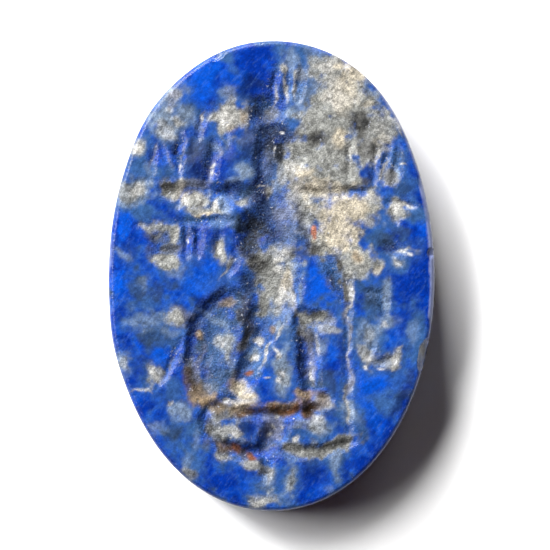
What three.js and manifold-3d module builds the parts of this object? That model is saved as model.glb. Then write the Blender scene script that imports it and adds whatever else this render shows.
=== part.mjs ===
// An engraved gem: an oval ring stone of lapis lazuli, flat on both faces, cut in intaglio with a
// plumed and winged figure that leans on a staff and stands on a ring.
// Millimetres. X runs across the stone and Y along it, towards the figure's plumes. Z rises out of
// the engraved face, and the origin is the middle of the flat back.

import * as THREE from "three";
import { mergeVertices } from "three/addons/utils/BufferGeometryUtils.js";
import Module from "manifold-3d";

const wasm = await Module();
wasm.setup();

// Driving dimensions of the stone
const LENGTH = 20.0;
const WIDTH = 13.9;
const THICKNESS = 3.6;

// The worn edge of the face, the girdle, and the ground edge of the back
const FACE_BEVEL = 0.2;
const FACE_BEVEL_DROP = 0.16;
const SHOULDER_INSET = 0.06;
const GIRDLE_HEIGHT = 0.45 * THICKNESS;
const BACK_EDGE_INSET = 0.22;
const BACK_EDGE_RISE = 0.5;
const BACK_BEVEL = 0.55;

// The oval was ground by hand: a little squarer than an ellipse, and fuller at some bearings
const SQUARENESS = 2.06;
const OUTLINE_STEPS = 112;
const FULLER = [
  { bearing: 62, by: 0.018, spread: 17 },
  { bearing: 128, by: 0.012, spread: 11 },
  { bearing: 203, by: 0.01, spread: 12 },
];

// The figure's body, from its plumes down. Places are [x, y] from the middle of the face.
const PLUMES = { count: 3, foot: [0, 7.25], tip: [0.25, 9], apart: 0.53, width: 0.3, depth: 0.2 };
const HEAD = { at: [-0.19, 6.95], width: 1.6, length: 1.4, depth: 0.32 };
const NECK = { at: [0, 6.15], width: 1, length: 0.9, depth: 0.24 };
const LEFT_CHEST = { at: [-0.3, 4.9], width: 1, length: 2.6, depth: 0.3 };
const RIGHT_CHEST = { at: [0.78, 4.95], width: 1.1, length: 2.1, depth: 0.3 };
const TRUNK = { line: [[0.25, 5.9], [0.22, 3.2], [0, 0.6]], width: 1.9, depth: 0.34 };
const WAIST = { at: [-0.75, 1.9], width: 1.5, length: 1.9, depth: 0.44 };
const KILT = { at: [0.08, -0.35], width: 2.5, length: 3.6, depth: 0.42 };

// Its legs, and the arm that reaches down to the staff
const LEFT_LEG = { line: [[-0.4, -1.2], [-0.75, -3.1], [-1.55, -5.25]], width: 1.7, end: 0.7, depth: 0.44 };
const RIGHT_LEG = { line: [[1.2, -1.5], [1.5, -3.1], [1.65, -5.3]], width: 1, end: 0.85, depth: 0.4 };
const RIGHT_KNEE = { at: [1.95, -1.9], width: 1.45, length: 0.95, depth: 0.32 };
const LEFT_FOOT = { line: [[-1.15, -5.1], [-2.45, -5.4]], width: 0.6, depth: 0.28 };
const RIGHT_FOOT = { line: [[1.5, -5.05], [2.5, -5.25]], width: 0.5, depth: 0.26 };
const ARM = { line: [[1.15, 3], [1.9, 1.4], [2.7, 0.35], [3.15, -1]], width: 0.78, depth: 0.32 };
const STAFF = { line: [[3.3, -0.1], [3.2, -3.4], [3.3, -6.8]], width: 0.22, depth: 0.13 };

// The left wings. The upper one's bone is the figure's outstretched arm.
const LEFT_ARM = { line: [[-0.2, 3.4], [-2.4, 3.55], [-4.75, 3.6]], width: 0.88, depth: 0.24 };
const UPPER_LEFT_FEATHERS = [
  { line: [[-2.9, 7.25], [-2.4, 7.15], [-1.95, 6], [-1.75, 5]], width: 0.2, depth: 0.1 },
  { line: [[-2.75, 3.7], [-2.55, 4.8], [-2.4, 5.85]], width: 0.52, depth: 0.22 },
  { line: [[-3.15, 5.7], [-2.8, 7]], width: 0.32, depth: 0.14 },
  { line: [[-3.92, 4.2], [-3.85, 6.25]], width: 0.3, depth: 0.17 },
  { line: [[-4.2, 4.45], [-4.75, 5.65]], width: 0.24, depth: 0.13 },
  { line: [[-5.15, 4.1], [-4.85, 5.7]], width: 0.26, depth: 0.12 },
];
const COVERTS = { count: 3, foot: [-2.85, 2.65], tip: [-2.85, 3.25], apart: 0.44, width: 0.3, depth: 0.22 };
const LOWER_LEFT_BONE = { line: [[-4.3, 2.3], [-1.3, 2.35]], width: 0.34, depth: 0.16 };
const LOWER_LEFT_ROW = {
  count: 2,
  foot: [-3.6, 0.7],
  tip: [-3.6, 2.3],
  apart: 0.5,
  width: 0.38,
  depth: 0.22,
};
const LOWER_LEFT_FEATHERS = [
  { line: [[-2.25, 0.8], [-2.22, 2.05]], width: 0.36, depth: 0.16 },
  { line: [[-1.45, 1.4], [-1.6, 0.6], [-1.95, -0.1]], width: 0.32, depth: 0.14 },
];

// The right wing
const RIGHT_BONE = { line: [[1.1, 3.6], [2.7, 3.55], [4.3, 3.62]], width: 0.42, depth: 0.17 };
const RIGHT_ROW = { count: 3, foot: [4.25, 3.85], tip: [4.5, 5.7], apart: 0.46, width: 0.34, depth: 0.18 };
const RIGHT_FEATHERS = [
  { line: [[3.28, 3.85], [3.33, 5.85]], width: 0.34, depth: 0.18 },
  { line: [[4.7, 3.1], [6.2, 3]], width: 0.3, depth: 0.15 },
  { line: [[5.15, 3], [5.35, 2.1]], width: 0.36, depth: 0.14 },
];

// The bird's tail behind the figure bows out from the hip and closes at the ring. Its feathers lie in
// one leaning hollow.
const TAIL_HOLLOW = { at: [-2.35, -2.6], width: 2, length: 4.6, depth: 0.3 };
const TAIL_LEAN = -16;
const TAIL = {
  count: 4,
  outer: [[-1.1, -0.75], [-2.55, -1.35], [-3.25, -2.6], [-3.2, -3.9], [-2.9, -5.1]],
  inner: [[-1.35, -1.5], [-1.5, -2.1], [-1.72, -3.1], [-1.8, -4.1], [-1.85, -5]],
  width: 0.8,
  depth: 0.24,
};

// The ring underfoot, open at the right, with a boss, a cross cut and a spur, and a thin serpent
const RING_TOP = {
  line: [[-2.85, -5.45], [-1.3, -5.75], [0.4, -5.82], [2.35, -5.45]],
  width: 0.5,
  depth: 0.3,
};
const RING_END = { line: [[-2.75, -5.45], [-2.75, -6.4], [-2.05, -7.2]], width: 0.56, depth: 0.26 };
const RING_BOTTOM = { line: [[-2.4, -7], [-1.2, -7.45], [0.1, -7.45]], width: 0.56, depth: 0.4 };
const RING_BAR = { line: [[-0.3, -7.4], [1.8, -7.4], [3.55, -7]], width: 0.52, depth: 0.22 };
const RING_CROSS = { line: [[0.35, -5.85], [-0.15, -7.35]], width: 1.05, depth: 0.38 };
const RING_BOSS = { at: [1.67, -5.68], width: 0.8, length: 0.9, depth: 0.48 };
const SPUR = { line: [[-0.2, -7.5], [-0.3, -8.65]], width: 0.5, depth: 0.26 };
const SERPENT = { line: [[-3.83, -2.35], [-4.2, -3.65], [-4.85, -4.75]], width: 0.26, depth: 0.15 };

// Marks in the field, too worn to read, and a pit where soft stone has fallen out
const SIGNS = [
  { line: [[4.65, 1.35], [5.65, 1]], width: 0.5, depth: 0.16 },
  { line: [[3.85, -0.6], [4.6, -0.85], [4.85, -1.75]], width: 0.42, depth: 0.16 },
  { line: [[4.3, -2.7], [4.15, -3.5]], width: 0.3, depth: 0.13 },
  { line: [[4.25, -3.7], [5.35, -3.5]], width: 0.36, depth: 0.16 },
];
const PIT = { at: [-4.5, 1.35], width: 1.45, length: 1.7, depth: 0.16 };

// Old chips in the rim, at a bearing from the middle of the stone
const CHIP_WIDTH = 0.7;
const CHIPS = [
  { bearing: -27, along: 1.7, depth: 0.5 },
  { bearing: 71, along: 0.8, depth: 0.22 },
  { bearing: 104, along: 0.9, depth: 0.18 },
  { bearing: 8, along: 0.6, depth: 0.2 },
];

// How fine the facets of a cut are, and how blunt its ends: a wheel leaves a boat, a drill a trough
const LINE_SIDES = 8;
const HOLLOW_SIDES = 12;
const RING_STEP = 0.34;
const FEWEST_RINGS = 5;
const MOST_RINGS = 14;
const BOAT = 2.2;
const TROUGH = 3.4;

// Points nearer than this are one point, and slivers lower than this are merged away
const SAME_POINT = 1e-4;
const SLIVER = 0.004;

const { degToRad, radToDeg, lerp, clamp } = THREE.MathUtils;

// One closed mesh as a solid that can be joined and cut
function solidOf(geometry) {
  const bare = new THREE.BufferGeometry();
  bare.setAttribute("position", geometry.getAttribute("position"));
  bare.setIndex(geometry.getIndex());
  const merged = mergeVertices(bare, SAME_POINT);
  return new wasm.Manifold(
    new wasm.Mesh({
      numProp: 3,
      vertProperties: merged.attributes.position.array,
      triVerts: new Uint32Array(merged.index.array),
    }),
  );
}

// A solid's surface as a geometry with flat facets
function geometryOf(solid) {
  const mesh = solid.getMesh();
  const geometry = new THREE.BufferGeometry();
  geometry.setAttribute("position", new THREE.BufferAttribute(mesh.vertProperties, 3));
  geometry.setIndex(new THREE.BufferAttribute(mesh.triVerts, 1));
  const faceted = geometry.toNonIndexed();
  faceted.computeVertexNormals();
  return faceted;
}

// A closed skin over a stack of rings, each turning the same way, with a point at either end
function skinOver(firstPole, rings, lastPole) {
  const sides = rings[0].length;
  const points = [firstPole, ...rings.flat(), lastPole];
  const lastIndex = points.length - 1;
  const at = (ring, side) => 1 + ring * sides + (side % sides);
  const faces = [];
  for (let side = 0; side < sides; side++) {
    faces.push(0, at(0, side + 1), at(0, side));
    for (let ring = 0; ring + 1 < rings.length; ring++) {
      faces.push(at(ring, side), at(ring, side + 1), at(ring + 1, side + 1));
      faces.push(at(ring, side), at(ring + 1, side + 1), at(ring + 1, side));
    }
    faces.push(lastIndex, at(rings.length - 1, side), at(rings.length - 1, side + 1));
  }
  const skin = new THREE.BufferGeometry();
  const coordinates = points.flatMap((point) => point.toArray());
  skin.setAttribute("position", new THREE.Float32BufferAttribute(coordinates, 3));
  skin.setIndex(faces);
  return skin;
}

// A point of the outline at one angle, drawn in from the girdle by an inset
function outlinePoint(angle, inset, height) {
  const across = Math.abs(Math.cos(angle) / (WIDTH / 2 - inset)) ** SQUARENESS;
  const along = Math.abs(Math.sin(angle) / (LENGTH / 2 - inset)) ** SQUARENESS;
  let reach = (across + along) ** (-1 / SQUARENESS);
  for (const { bearing, by, spread } of FULLER) {
    reach *= 1 + by * Math.exp(-(((radToDeg(angle) - bearing) / spread) ** 2));
  }
  return new THREE.Vector3(reach * Math.cos(angle), reach * Math.sin(angle), height);
}

// The uncut stone, from the flat back up to the flat face
function blank() {
  const profile = [
    [BACK_BEVEL, 0],
    [BACK_EDGE_INSET, BACK_EDGE_RISE],
    [0, GIRDLE_HEIGHT],
    [SHOULDER_INSET, THICKNESS - FACE_BEVEL_DROP],
    [SHOULDER_INSET + FACE_BEVEL, THICKNESS],
  ];
  const rings = profile.map(([inset, height]) =>
    Array.from({ length: OUTLINE_STEPS }, (_, step) =>
      outlinePoint((step / OUTLINE_STEPS) * 2 * Math.PI, inset, height),
    ),
  );
  const middleOfBack = new THREE.Vector3(0, 0, 0);
  const middleOfFace = new THREE.Vector3(0, 0, THICKNESS);
  return solidOf(skinOver(middleOfBack, rings, middleOfFace));
}

// One pass of the engraver's tool along a smooth line on the face: a trough that swells from
// nothing to its full width and depth and dies away again
function groove({ line, width, end = width, depth }, ends = BOAT, sides = LINE_SIDES) {
  const points = line.map(([x, y]) => new THREE.Vector3(x, y, THICKNESS));
  const curve = new THREE.CatmullRomCurve3(points, false, "centripetal");
  const count = clamp(Math.round(curve.getLength() / RING_STEP), FEWEST_RINGS, MOST_RINGS);
  const rings = [];
  for (let step = 1; step < count; step++) {
    // Rings crowd towards both ends, where the trough narrows
    const share = 0.5 - 0.5 * Math.cos((step / count) * Math.PI);
    const swell = (1 - Math.abs(2 * share - 1) ** ends) ** (1 / ends);
    const middle = curve.getPointAt(share);
    const ahead = curve.getTangentAt(share);
    const sideways = new THREE.Vector3(-ahead.y, ahead.x, 0);
    const halfWidth = 0.5 * lerp(width, end, share) * swell;
    rings.push(
      Array.from({ length: sides }, (_, side) => {
        const turn = ((side + 0.5) / sides) * 2 * Math.PI;
        const offset = sideways.clone().multiplyScalar(halfWidth * Math.cos(turn));
        offset.z = depth * swell * Math.sin(turn);
        return middle.clone().add(offset);
      }),
    );
  }
  return solidOf(skinOver(curve.getPointAt(0), rings, curve.getPointAt(1)));
}

// A limb is a broad groove with round ends
function limb(shape) {
  return groove(shape, TROUGH, HOLLOW_SIDES);
}

// A hollow sunk in one place with a round drill
function hollow({ at: [x, y], width, length, depth }, lean = 0) {
  const ball = new THREE.SphereGeometry(1, HOLLOW_SIDES, HOLLOW_SIDES / 2 + 1);
  ball.rotateX(Math.PI / 2);
  ball.scale(width / 2, length / 2, depth);
  ball.rotateZ(lean);
  ball.translate(x, y, THICKNESS);
  return solidOf(ball);
}

// Like feathers side by side, each a set distance to the right of the one before
function featherRow({ count, foot, tip, apart, width, depth }) {
  return Array.from({ length: count }, (_, n) => {
    const line = [foot, tip].map(([x, y]) => [x + n * apart, y]);
    return groove({ line, width, depth });
  });
}

// Single feathers, each with a line of its own
function feathers(shapes) {
  return shapes.map((shape) => groove(shape));
}

// The plumes and the head, the trunk with the two halves of its chest, and the kilt
function body() {
  const hollows = [HEAD, NECK, LEFT_CHEST, RIGHT_CHEST, WAIST, KILT];
  return [...featherRow(PLUMES), limb(TRUNK), ...hollows.map((shape) => hollow(shape))];
}

// The legs and feet, and the right arm with its staff
function limbs() {
  return [
    limb(LEFT_LEG),
    limb(RIGHT_LEG),
    hollow(RIGHT_KNEE),
    groove(LEFT_FOOT),
    groove(RIGHT_FOOT),
    limb(ARM),
    groove(STAFF, TROUGH),
  ];
}

// The upper and the lower wing on the left, and the wing on the right
function wings() {
  return [
    limb(LEFT_ARM),
    ...feathers(UPPER_LEFT_FEATHERS),
    ...featherRow(COVERTS),
    groove(LOWER_LEFT_BONE),
    ...featherRow(LOWER_LEFT_ROW),
    ...feathers(LOWER_LEFT_FEATHERS),
    groove(RIGHT_BONE),
    ...featherRow(RIGHT_ROW),
    ...feathers(RIGHT_FEATHERS),
  ];
}

// The tail: its hollow, and feathers spread evenly from its outermost line to its innermost
function tail() {
  const { count, outer, inner, width, depth } = TAIL;
  const fan = Array.from({ length: count }, (_, n) => {
    const share = n / (count - 1);
    const line = outer.map(([x, y], p) => [lerp(x, inner[p][0], share), lerp(y, inner[p][1], share)]);
    return limb({ line, width, depth });
  });
  return [hollow(TAIL_HOLLOW, degToRad(TAIL_LEAN)), ...fan];
}

// The ring underfoot with its boss, cross cut and spur
function ring() {
  const channels = [RING_TOP, RING_END, RING_BOTTOM, RING_BAR, RING_CROSS];
  return [...channels.map((channel) => groove(channel, TROUGH)), hollow(RING_BOSS), groove(SPUR)];
}

// The serpent, the signs and the pit in the empty parts of the face
function field() {
  return [groove(SERPENT), ...SIGNS.map((sign) => groove(sign)), hollow(PIT)];
}

// The chips, each lying along the rim
function chips() {
  return CHIPS.map(({ bearing, along, depth }) => {
    const { x, y } = outlinePoint(degToRad(bearing), 0, THICKNESS);
    const squareToRim = Math.atan2(y / LENGTH ** 2, x / WIDTH ** 2);
    return hollow({ at: [x, y], width: CHIP_WIDTH, length: along, depth }, squareToRim);
  });
}

// The stone with every cut taken out of it, less any crumb that is left loose between two cuts
function engravedStone() {
  const cuts = [body(), limbs(), wings(), tail(), ring(), field(), chips()].flat();
  const carving = wasm.Manifold.union(cuts);
  const left = blank().subtract(carving).simplify(SLIVER).decompose();
  const [stone] = left.sort((one, other) => other.volume() - one.volume());
  return geometryOf(stone);
}

const lapis = new THREE.MeshStandardMaterial({
  color: new THREE.Color().setRGB(0.2, 0.32, 0.62, THREE.SRGBColorSpace),
  roughness: 0.42,
  metalness: 0,
});

const gem = new THREE.Mesh(engravedStone(), lapis);
gem.name = "engraved_stone";

const part = new THREE.Group();
part.add(gem);

export default part;
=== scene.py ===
"""An engraved gem on a pale floor, seen from straight above.

The gem is an oval ring stone of lapis lazuli, cut in intaglio with a plumed and winged figure. It lies
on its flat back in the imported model's frame: X across the stone, Y along it towards the figure's plumes,
Z out of the engraved face. The scene is in metres, and sizes on the stone are written in millimetres.
"""

import logging
import math
from dataclasses import dataclass
from enum import Enum

import bpy
import numpy as np
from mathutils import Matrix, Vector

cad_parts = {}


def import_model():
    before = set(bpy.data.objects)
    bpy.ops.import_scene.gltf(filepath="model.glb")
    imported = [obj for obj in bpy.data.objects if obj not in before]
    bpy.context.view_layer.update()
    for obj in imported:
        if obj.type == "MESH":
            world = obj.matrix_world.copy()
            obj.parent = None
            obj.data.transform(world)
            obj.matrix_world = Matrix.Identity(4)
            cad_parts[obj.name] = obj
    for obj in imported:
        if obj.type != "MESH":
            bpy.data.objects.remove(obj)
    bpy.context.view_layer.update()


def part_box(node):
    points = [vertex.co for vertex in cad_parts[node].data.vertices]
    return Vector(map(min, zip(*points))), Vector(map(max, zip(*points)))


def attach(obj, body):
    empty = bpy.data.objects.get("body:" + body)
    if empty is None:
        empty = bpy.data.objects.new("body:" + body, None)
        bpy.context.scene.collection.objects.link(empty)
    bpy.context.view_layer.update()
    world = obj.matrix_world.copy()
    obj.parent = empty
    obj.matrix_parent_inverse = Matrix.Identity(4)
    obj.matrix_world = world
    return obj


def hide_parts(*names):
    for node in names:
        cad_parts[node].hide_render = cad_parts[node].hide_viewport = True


MM = 0.001
NODE = "engraved_stone"
BODY = "root"
FULL_LIGHT = 3.7
HAIR = 0.002

log = logging.getLogger("gem")

Point = tuple[float, float]
Tint = tuple[float, float, float, float]


def linear(red: int, green: int, blue: int) -> Tint:
    """Returns a colour seen on screen, 0 to 255, as the scene's own light values."""
    parts = [channel / 255 for channel in (red, green, blue)]
    curve = [p / 12.92 if p <= 0.04045 else ((p + 0.055) / 1.055) ** 2.4 for p in parts]
    return (curve[0], curve[1], curve[2], 1.0)


def ramp(values: np.ndarray, start: float, length: float) -> np.ndarray:
    """Returns how far values are along a slope that starts at one value and has a length, from 0 to 1."""
    return np.clip((values - start) / length, 0, 1)


# The face as a map


class Seed(Enum):
    """Which noise each unevenness has, so that it is the same in every run."""

    PATCH_ACROSS = 11
    PATCH_ALONG = 12
    MOTTLE = 13
    FLECK = 14
    PATCH_EDGE = 15
    COARSE_GRAIN = 16
    FINE_GRAIN = 17
    BROAD_WEAR = 21
    MIDDLE_WEAR = 22
    FINE_WEAR = 23
    CUT_ACROSS = 31
    CUT_ALONG = 32
    CUT_DEPTH = 33
    SCUFF_AND_SHEEN_EDGE = 41


class FaceMap:
    """Fields over the engraved face: arrays of samples on one fine lattice, in millimetres.

    FADE is how strong each finer layer of noise is beside the one before it.
    """

    FADE = 0.55

    def __init__(self, half_width: float, half_length: float, step: float = 0.03) -> None:
        """Lays the lattice out.

        Args:
            half_width: half of the stone's width, in millimetres.
            half_length: half of its length.
            step: the distance between samples.
        """
        self.step = step
        self.low = (-half_width - step, -half_length - step)
        columns = int(2 * (half_width + step) / step) + 2
        rows = int(2 * (half_length + step) / step) + 2
        across = self.low[0] + step * np.arange(columns)
        along = self.low[1] + step * np.arange(rows)
        self.x, self.y = np.meshgrid(across, along)

    def blank(self) -> np.ndarray:
        """Returns a field of zeros."""
        return np.zeros_like(self.x)

    def window(self, x: float, y: float, reach: float) -> tuple[slice, slice]:
        """Finds the samples round a place.

        Args:
            x: the place across the stone.
            y: the place along it.
            reach: how far the window goes to each side.

        Returns:
            The rows and the columns of the window.
        """
        rows, columns = self.x.shape
        first_column = max(int((x - reach - self.low[0]) / self.step), 0)
        last_column = min(int((x + reach - self.low[0]) / self.step) + 2, columns)
        first_row = max(int((y - reach - self.low[1]) / self.step), 0)
        last_row = min(int((y + reach - self.low[1]) / self.step) + 2, rows)
        return slice(first_row, last_row), slice(first_column, last_column)

    def blur(self, field: np.ndarray, radius: float) -> np.ndarray:
        """Softens a field.

        Args:
            field: the field to soften.
            radius: the spread of the softening, in millimetres.

        Returns:
            The softened field.
        """
        spread = radius / self.step
        reach = max(int(math.ceil(2.5 * spread)), 1)
        weights = np.exp(-0.5 * (np.arange(-reach, reach + 1) / spread) ** 2)
        weights /= weights.sum()
        for axis in (0, 1):
            padding = [(reach, reach) if side == axis else (0, 0) for side in (0, 1)]
            padded = np.pad(field, padding, mode="edge")
            length = field.shape[axis]
            shifts = [np.take(padded, range(k, k + length), axis=axis) for k in range(len(weights))]
            field = sum(weight * shift for weight, shift in zip(weights, shifts))
        return field

    def clouds(self, size: float, octaves: int, seed: Seed) -> np.ndarray:
        """Makes soft noise.

        Args:
            size: how large its largest clouds are, in millimetres.
            octaves: how many finer layers it has.
            seed: which noise it is.

        Returns:
            A field between 0 and 1.
        """
        chance = np.random.default_rng(seed.value)
        total = self.blank()
        weights = 0.0
        for octave in range(octaves):
            cell = size / 2**octave
            u = (self.x - self.low[0]) / cell
            v = (self.y - self.low[1]) / cell
            column, row = u.astype(int), v.astype(int)
            u, v = u - column, v - row
            u, v = u * u * (3 - 2 * u), v * v * (3 - 2 * v)
            lattice = chance.random((row.max() + 2, column.max() + 2))
            lower = lattice[row, column] * (1 - u) + lattice[row, column + 1] * u
            upper = lattice[row + 1, column] * (1 - u) + lattice[row + 1, column + 1] * u
            weight = self.FADE**octave
            total += weight * (lower * (1 - v) + upper * v)
            weights += weight
        return total / weights

    def sample(self, field: np.ndarray, x: np.ndarray, y: np.ndarray) -> np.ndarray:
        """Reads a field at places of their own.

        Args:
            field: the field to read.
            x: the places across the stone, in millimetres.
            y: the places along it.

        Returns:
            The field's values there.
        """
        rows, columns = field.shape
        u = np.clip((x - self.low[0]) / self.step, 0, columns - 1.001)
        v = np.clip((y - self.low[1]) / self.step, 0, rows - 1.001)
        column, row = u.astype(int), v.astype(int)
        u, v = u - column, v - row
        lower = field[row, column] * (1 - u) + field[row, column + 1] * u
        upper = field[row + 1, column] * (1 - u) + field[row + 1, column + 1] * u
        return lower * (1 - v) + upper * v


# The engraver's cuts


class Ends(Enum):
    """How blunt the two ends of a cut are."""

    BOAT = 2.2
    TROUGH = 3.4


@dataclass(frozen=True)
class Groove:
    """One pass of the engraver's wheel along a smooth line.

    The line is given by the places that it goes through. Width and depth are at its fullest, and end is
    its width at the far end where that differs. The wheel stops at STEP along the line, and no less than
    FEWEST_STOPS times. The curve between two places is first drawn with CURVE_POINTS.
    """

    STEP = 0.035
    FEWEST_STOPS = 12
    CURVE_POINTS = 40

    line: tuple[Point, ...]
    width: float
    depth: float
    end: float | None = None
    ends: Ends = Ends.BOAT

    def path(self) -> np.ndarray:
        """Returns places evenly along the smooth line, closer together than the cut is wide."""
        places = np.array(self.line, float)
        first = 2 * places[0] - places[1]
        last = 2 * places[-1] - places[-2]
        knots = np.vstack([first, places, last])
        pieces = []
        for k in range(1, len(knots) - 2):
            before, start, stop, after = knots[k - 1 : k + 3]
            t = np.linspace(0, 1, self.CURVE_POINTS, endpoint=False)[:, None]
            pull = 0.5 * (stop - before)
            push = 0.5 * (after - start)
            piece = (2 * t**3 - 3 * t**2 + 1) * start + (t**3 - 2 * t**2 + t) * pull
            pieces.append(piece + (3 * t**2 - 2 * t**3) * stop + (t**3 - t**2) * push)
        curve = np.vstack(pieces + [places[-1:]])
        run = np.concatenate([[0], np.cumsum(np.linalg.norm(np.diff(curve, axis=0), axis=1))])
        count = max(int(run[-1] / self.STEP), self.FEWEST_STOPS)
        even = np.linspace(0, run[-1], count)
        return np.column_stack([np.interp(even, run, curve[:, side]) for side in (0, 1)])

    def depth_over(self, face: FaceMap) -> np.ndarray:
        """Works out how deep this cut goes.

        Args:
            face: the map of the face.

        Returns:
            Its depth over the face, in millimetres.
        """
        sunk = face.blank()
        path = self.path()
        far_width = self.width if self.end is None else self.end
        for share, (x, y) in zip(np.linspace(0, 1, len(path)), path):
            swell = (1 - abs(2 * share - 1) ** self.ends.value) ** (1 / self.ends.value)
            half = 0.5 * (self.width + (far_width - self.width) * share) * swell
            if half < face.step:
                continue
            near = face.window(x, y, half)
            away = ((face.x[near] - x) ** 2 + (face.y[near] - y) ** 2) / half**2
            bowl = self.depth * swell * np.clip(1 - away, 0, 1) ** Engraving.SECTION
            sunk[near] = np.maximum(sunk[near], bowl)
        return sunk


@dataclass(frozen=True)
class Hollow:
    """A hollow sunk in one place with a round drill."""

    at: Point
    width: float
    length: float
    depth: float
    lean: float = 0.0

    def depth_over(self, face: FaceMap) -> np.ndarray:
        """Works out how deep this hollow goes.

        Args:
            face: the map of the face.

        Returns:
            Its depth over the face, in millimetres.
        """
        turn = math.radians(self.lean)
        x, y = face.x - self.at[0], face.y - self.at[1]
        across = (x * math.cos(turn) + y * math.sin(turn)) / (0.5 * self.width)
        along = (y * math.cos(turn) - x * math.sin(turn)) / (0.5 * self.length)
        return self.depth * np.clip(1 - across**2 - along**2, 0, 1) ** Engraving.SECTION


def feather_row(
    count: int, foot: Point, tip: Point, apart: float, width: float, depth: float
) -> tuple[Groove, ...]:
    """Sets like feathers side by side.

    Args:
        count: how many there are.
        foot: where the first one starts.
        tip: where the first one ends.
        apart: the distance from each to the next.
        width: how wide each is.
        depth: how deep each is.

    Returns:
        The feathers' cuts, from left to right.
    """
    starts = [((foot[0] + n * apart, foot[1]), (tip[0] + n * apart, tip[1])) for n in range(count)]
    return tuple(Groove(line, width, depth) for line in starts)


def fan(
    count: int, outer: tuple[Point, ...], inner: tuple[Point, ...], width: float, depth: float
) -> tuple[Groove, ...]:
    """Spreads like cuts from an outermost line to an innermost one.

    Args:
        count: how many cuts there are.
        outer: the first cut's line.
        inner: the last cut's line.
        width: how wide each is.
        depth: how deep each is.

    Returns:
        The cuts, from the outermost in.
    """
    cuts = []
    for n in range(count):
        share = n / (count - 1)
        pairs = zip(outer, inner)
        line = tuple((a[0] + (b[0] - a[0]) * share, a[1] + (b[1] - a[1]) * share) for a, b in pairs)
        cuts.append(Groove(line, width, depth, ends=Ends.TROUGH))
    return tuple(cuts)


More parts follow.
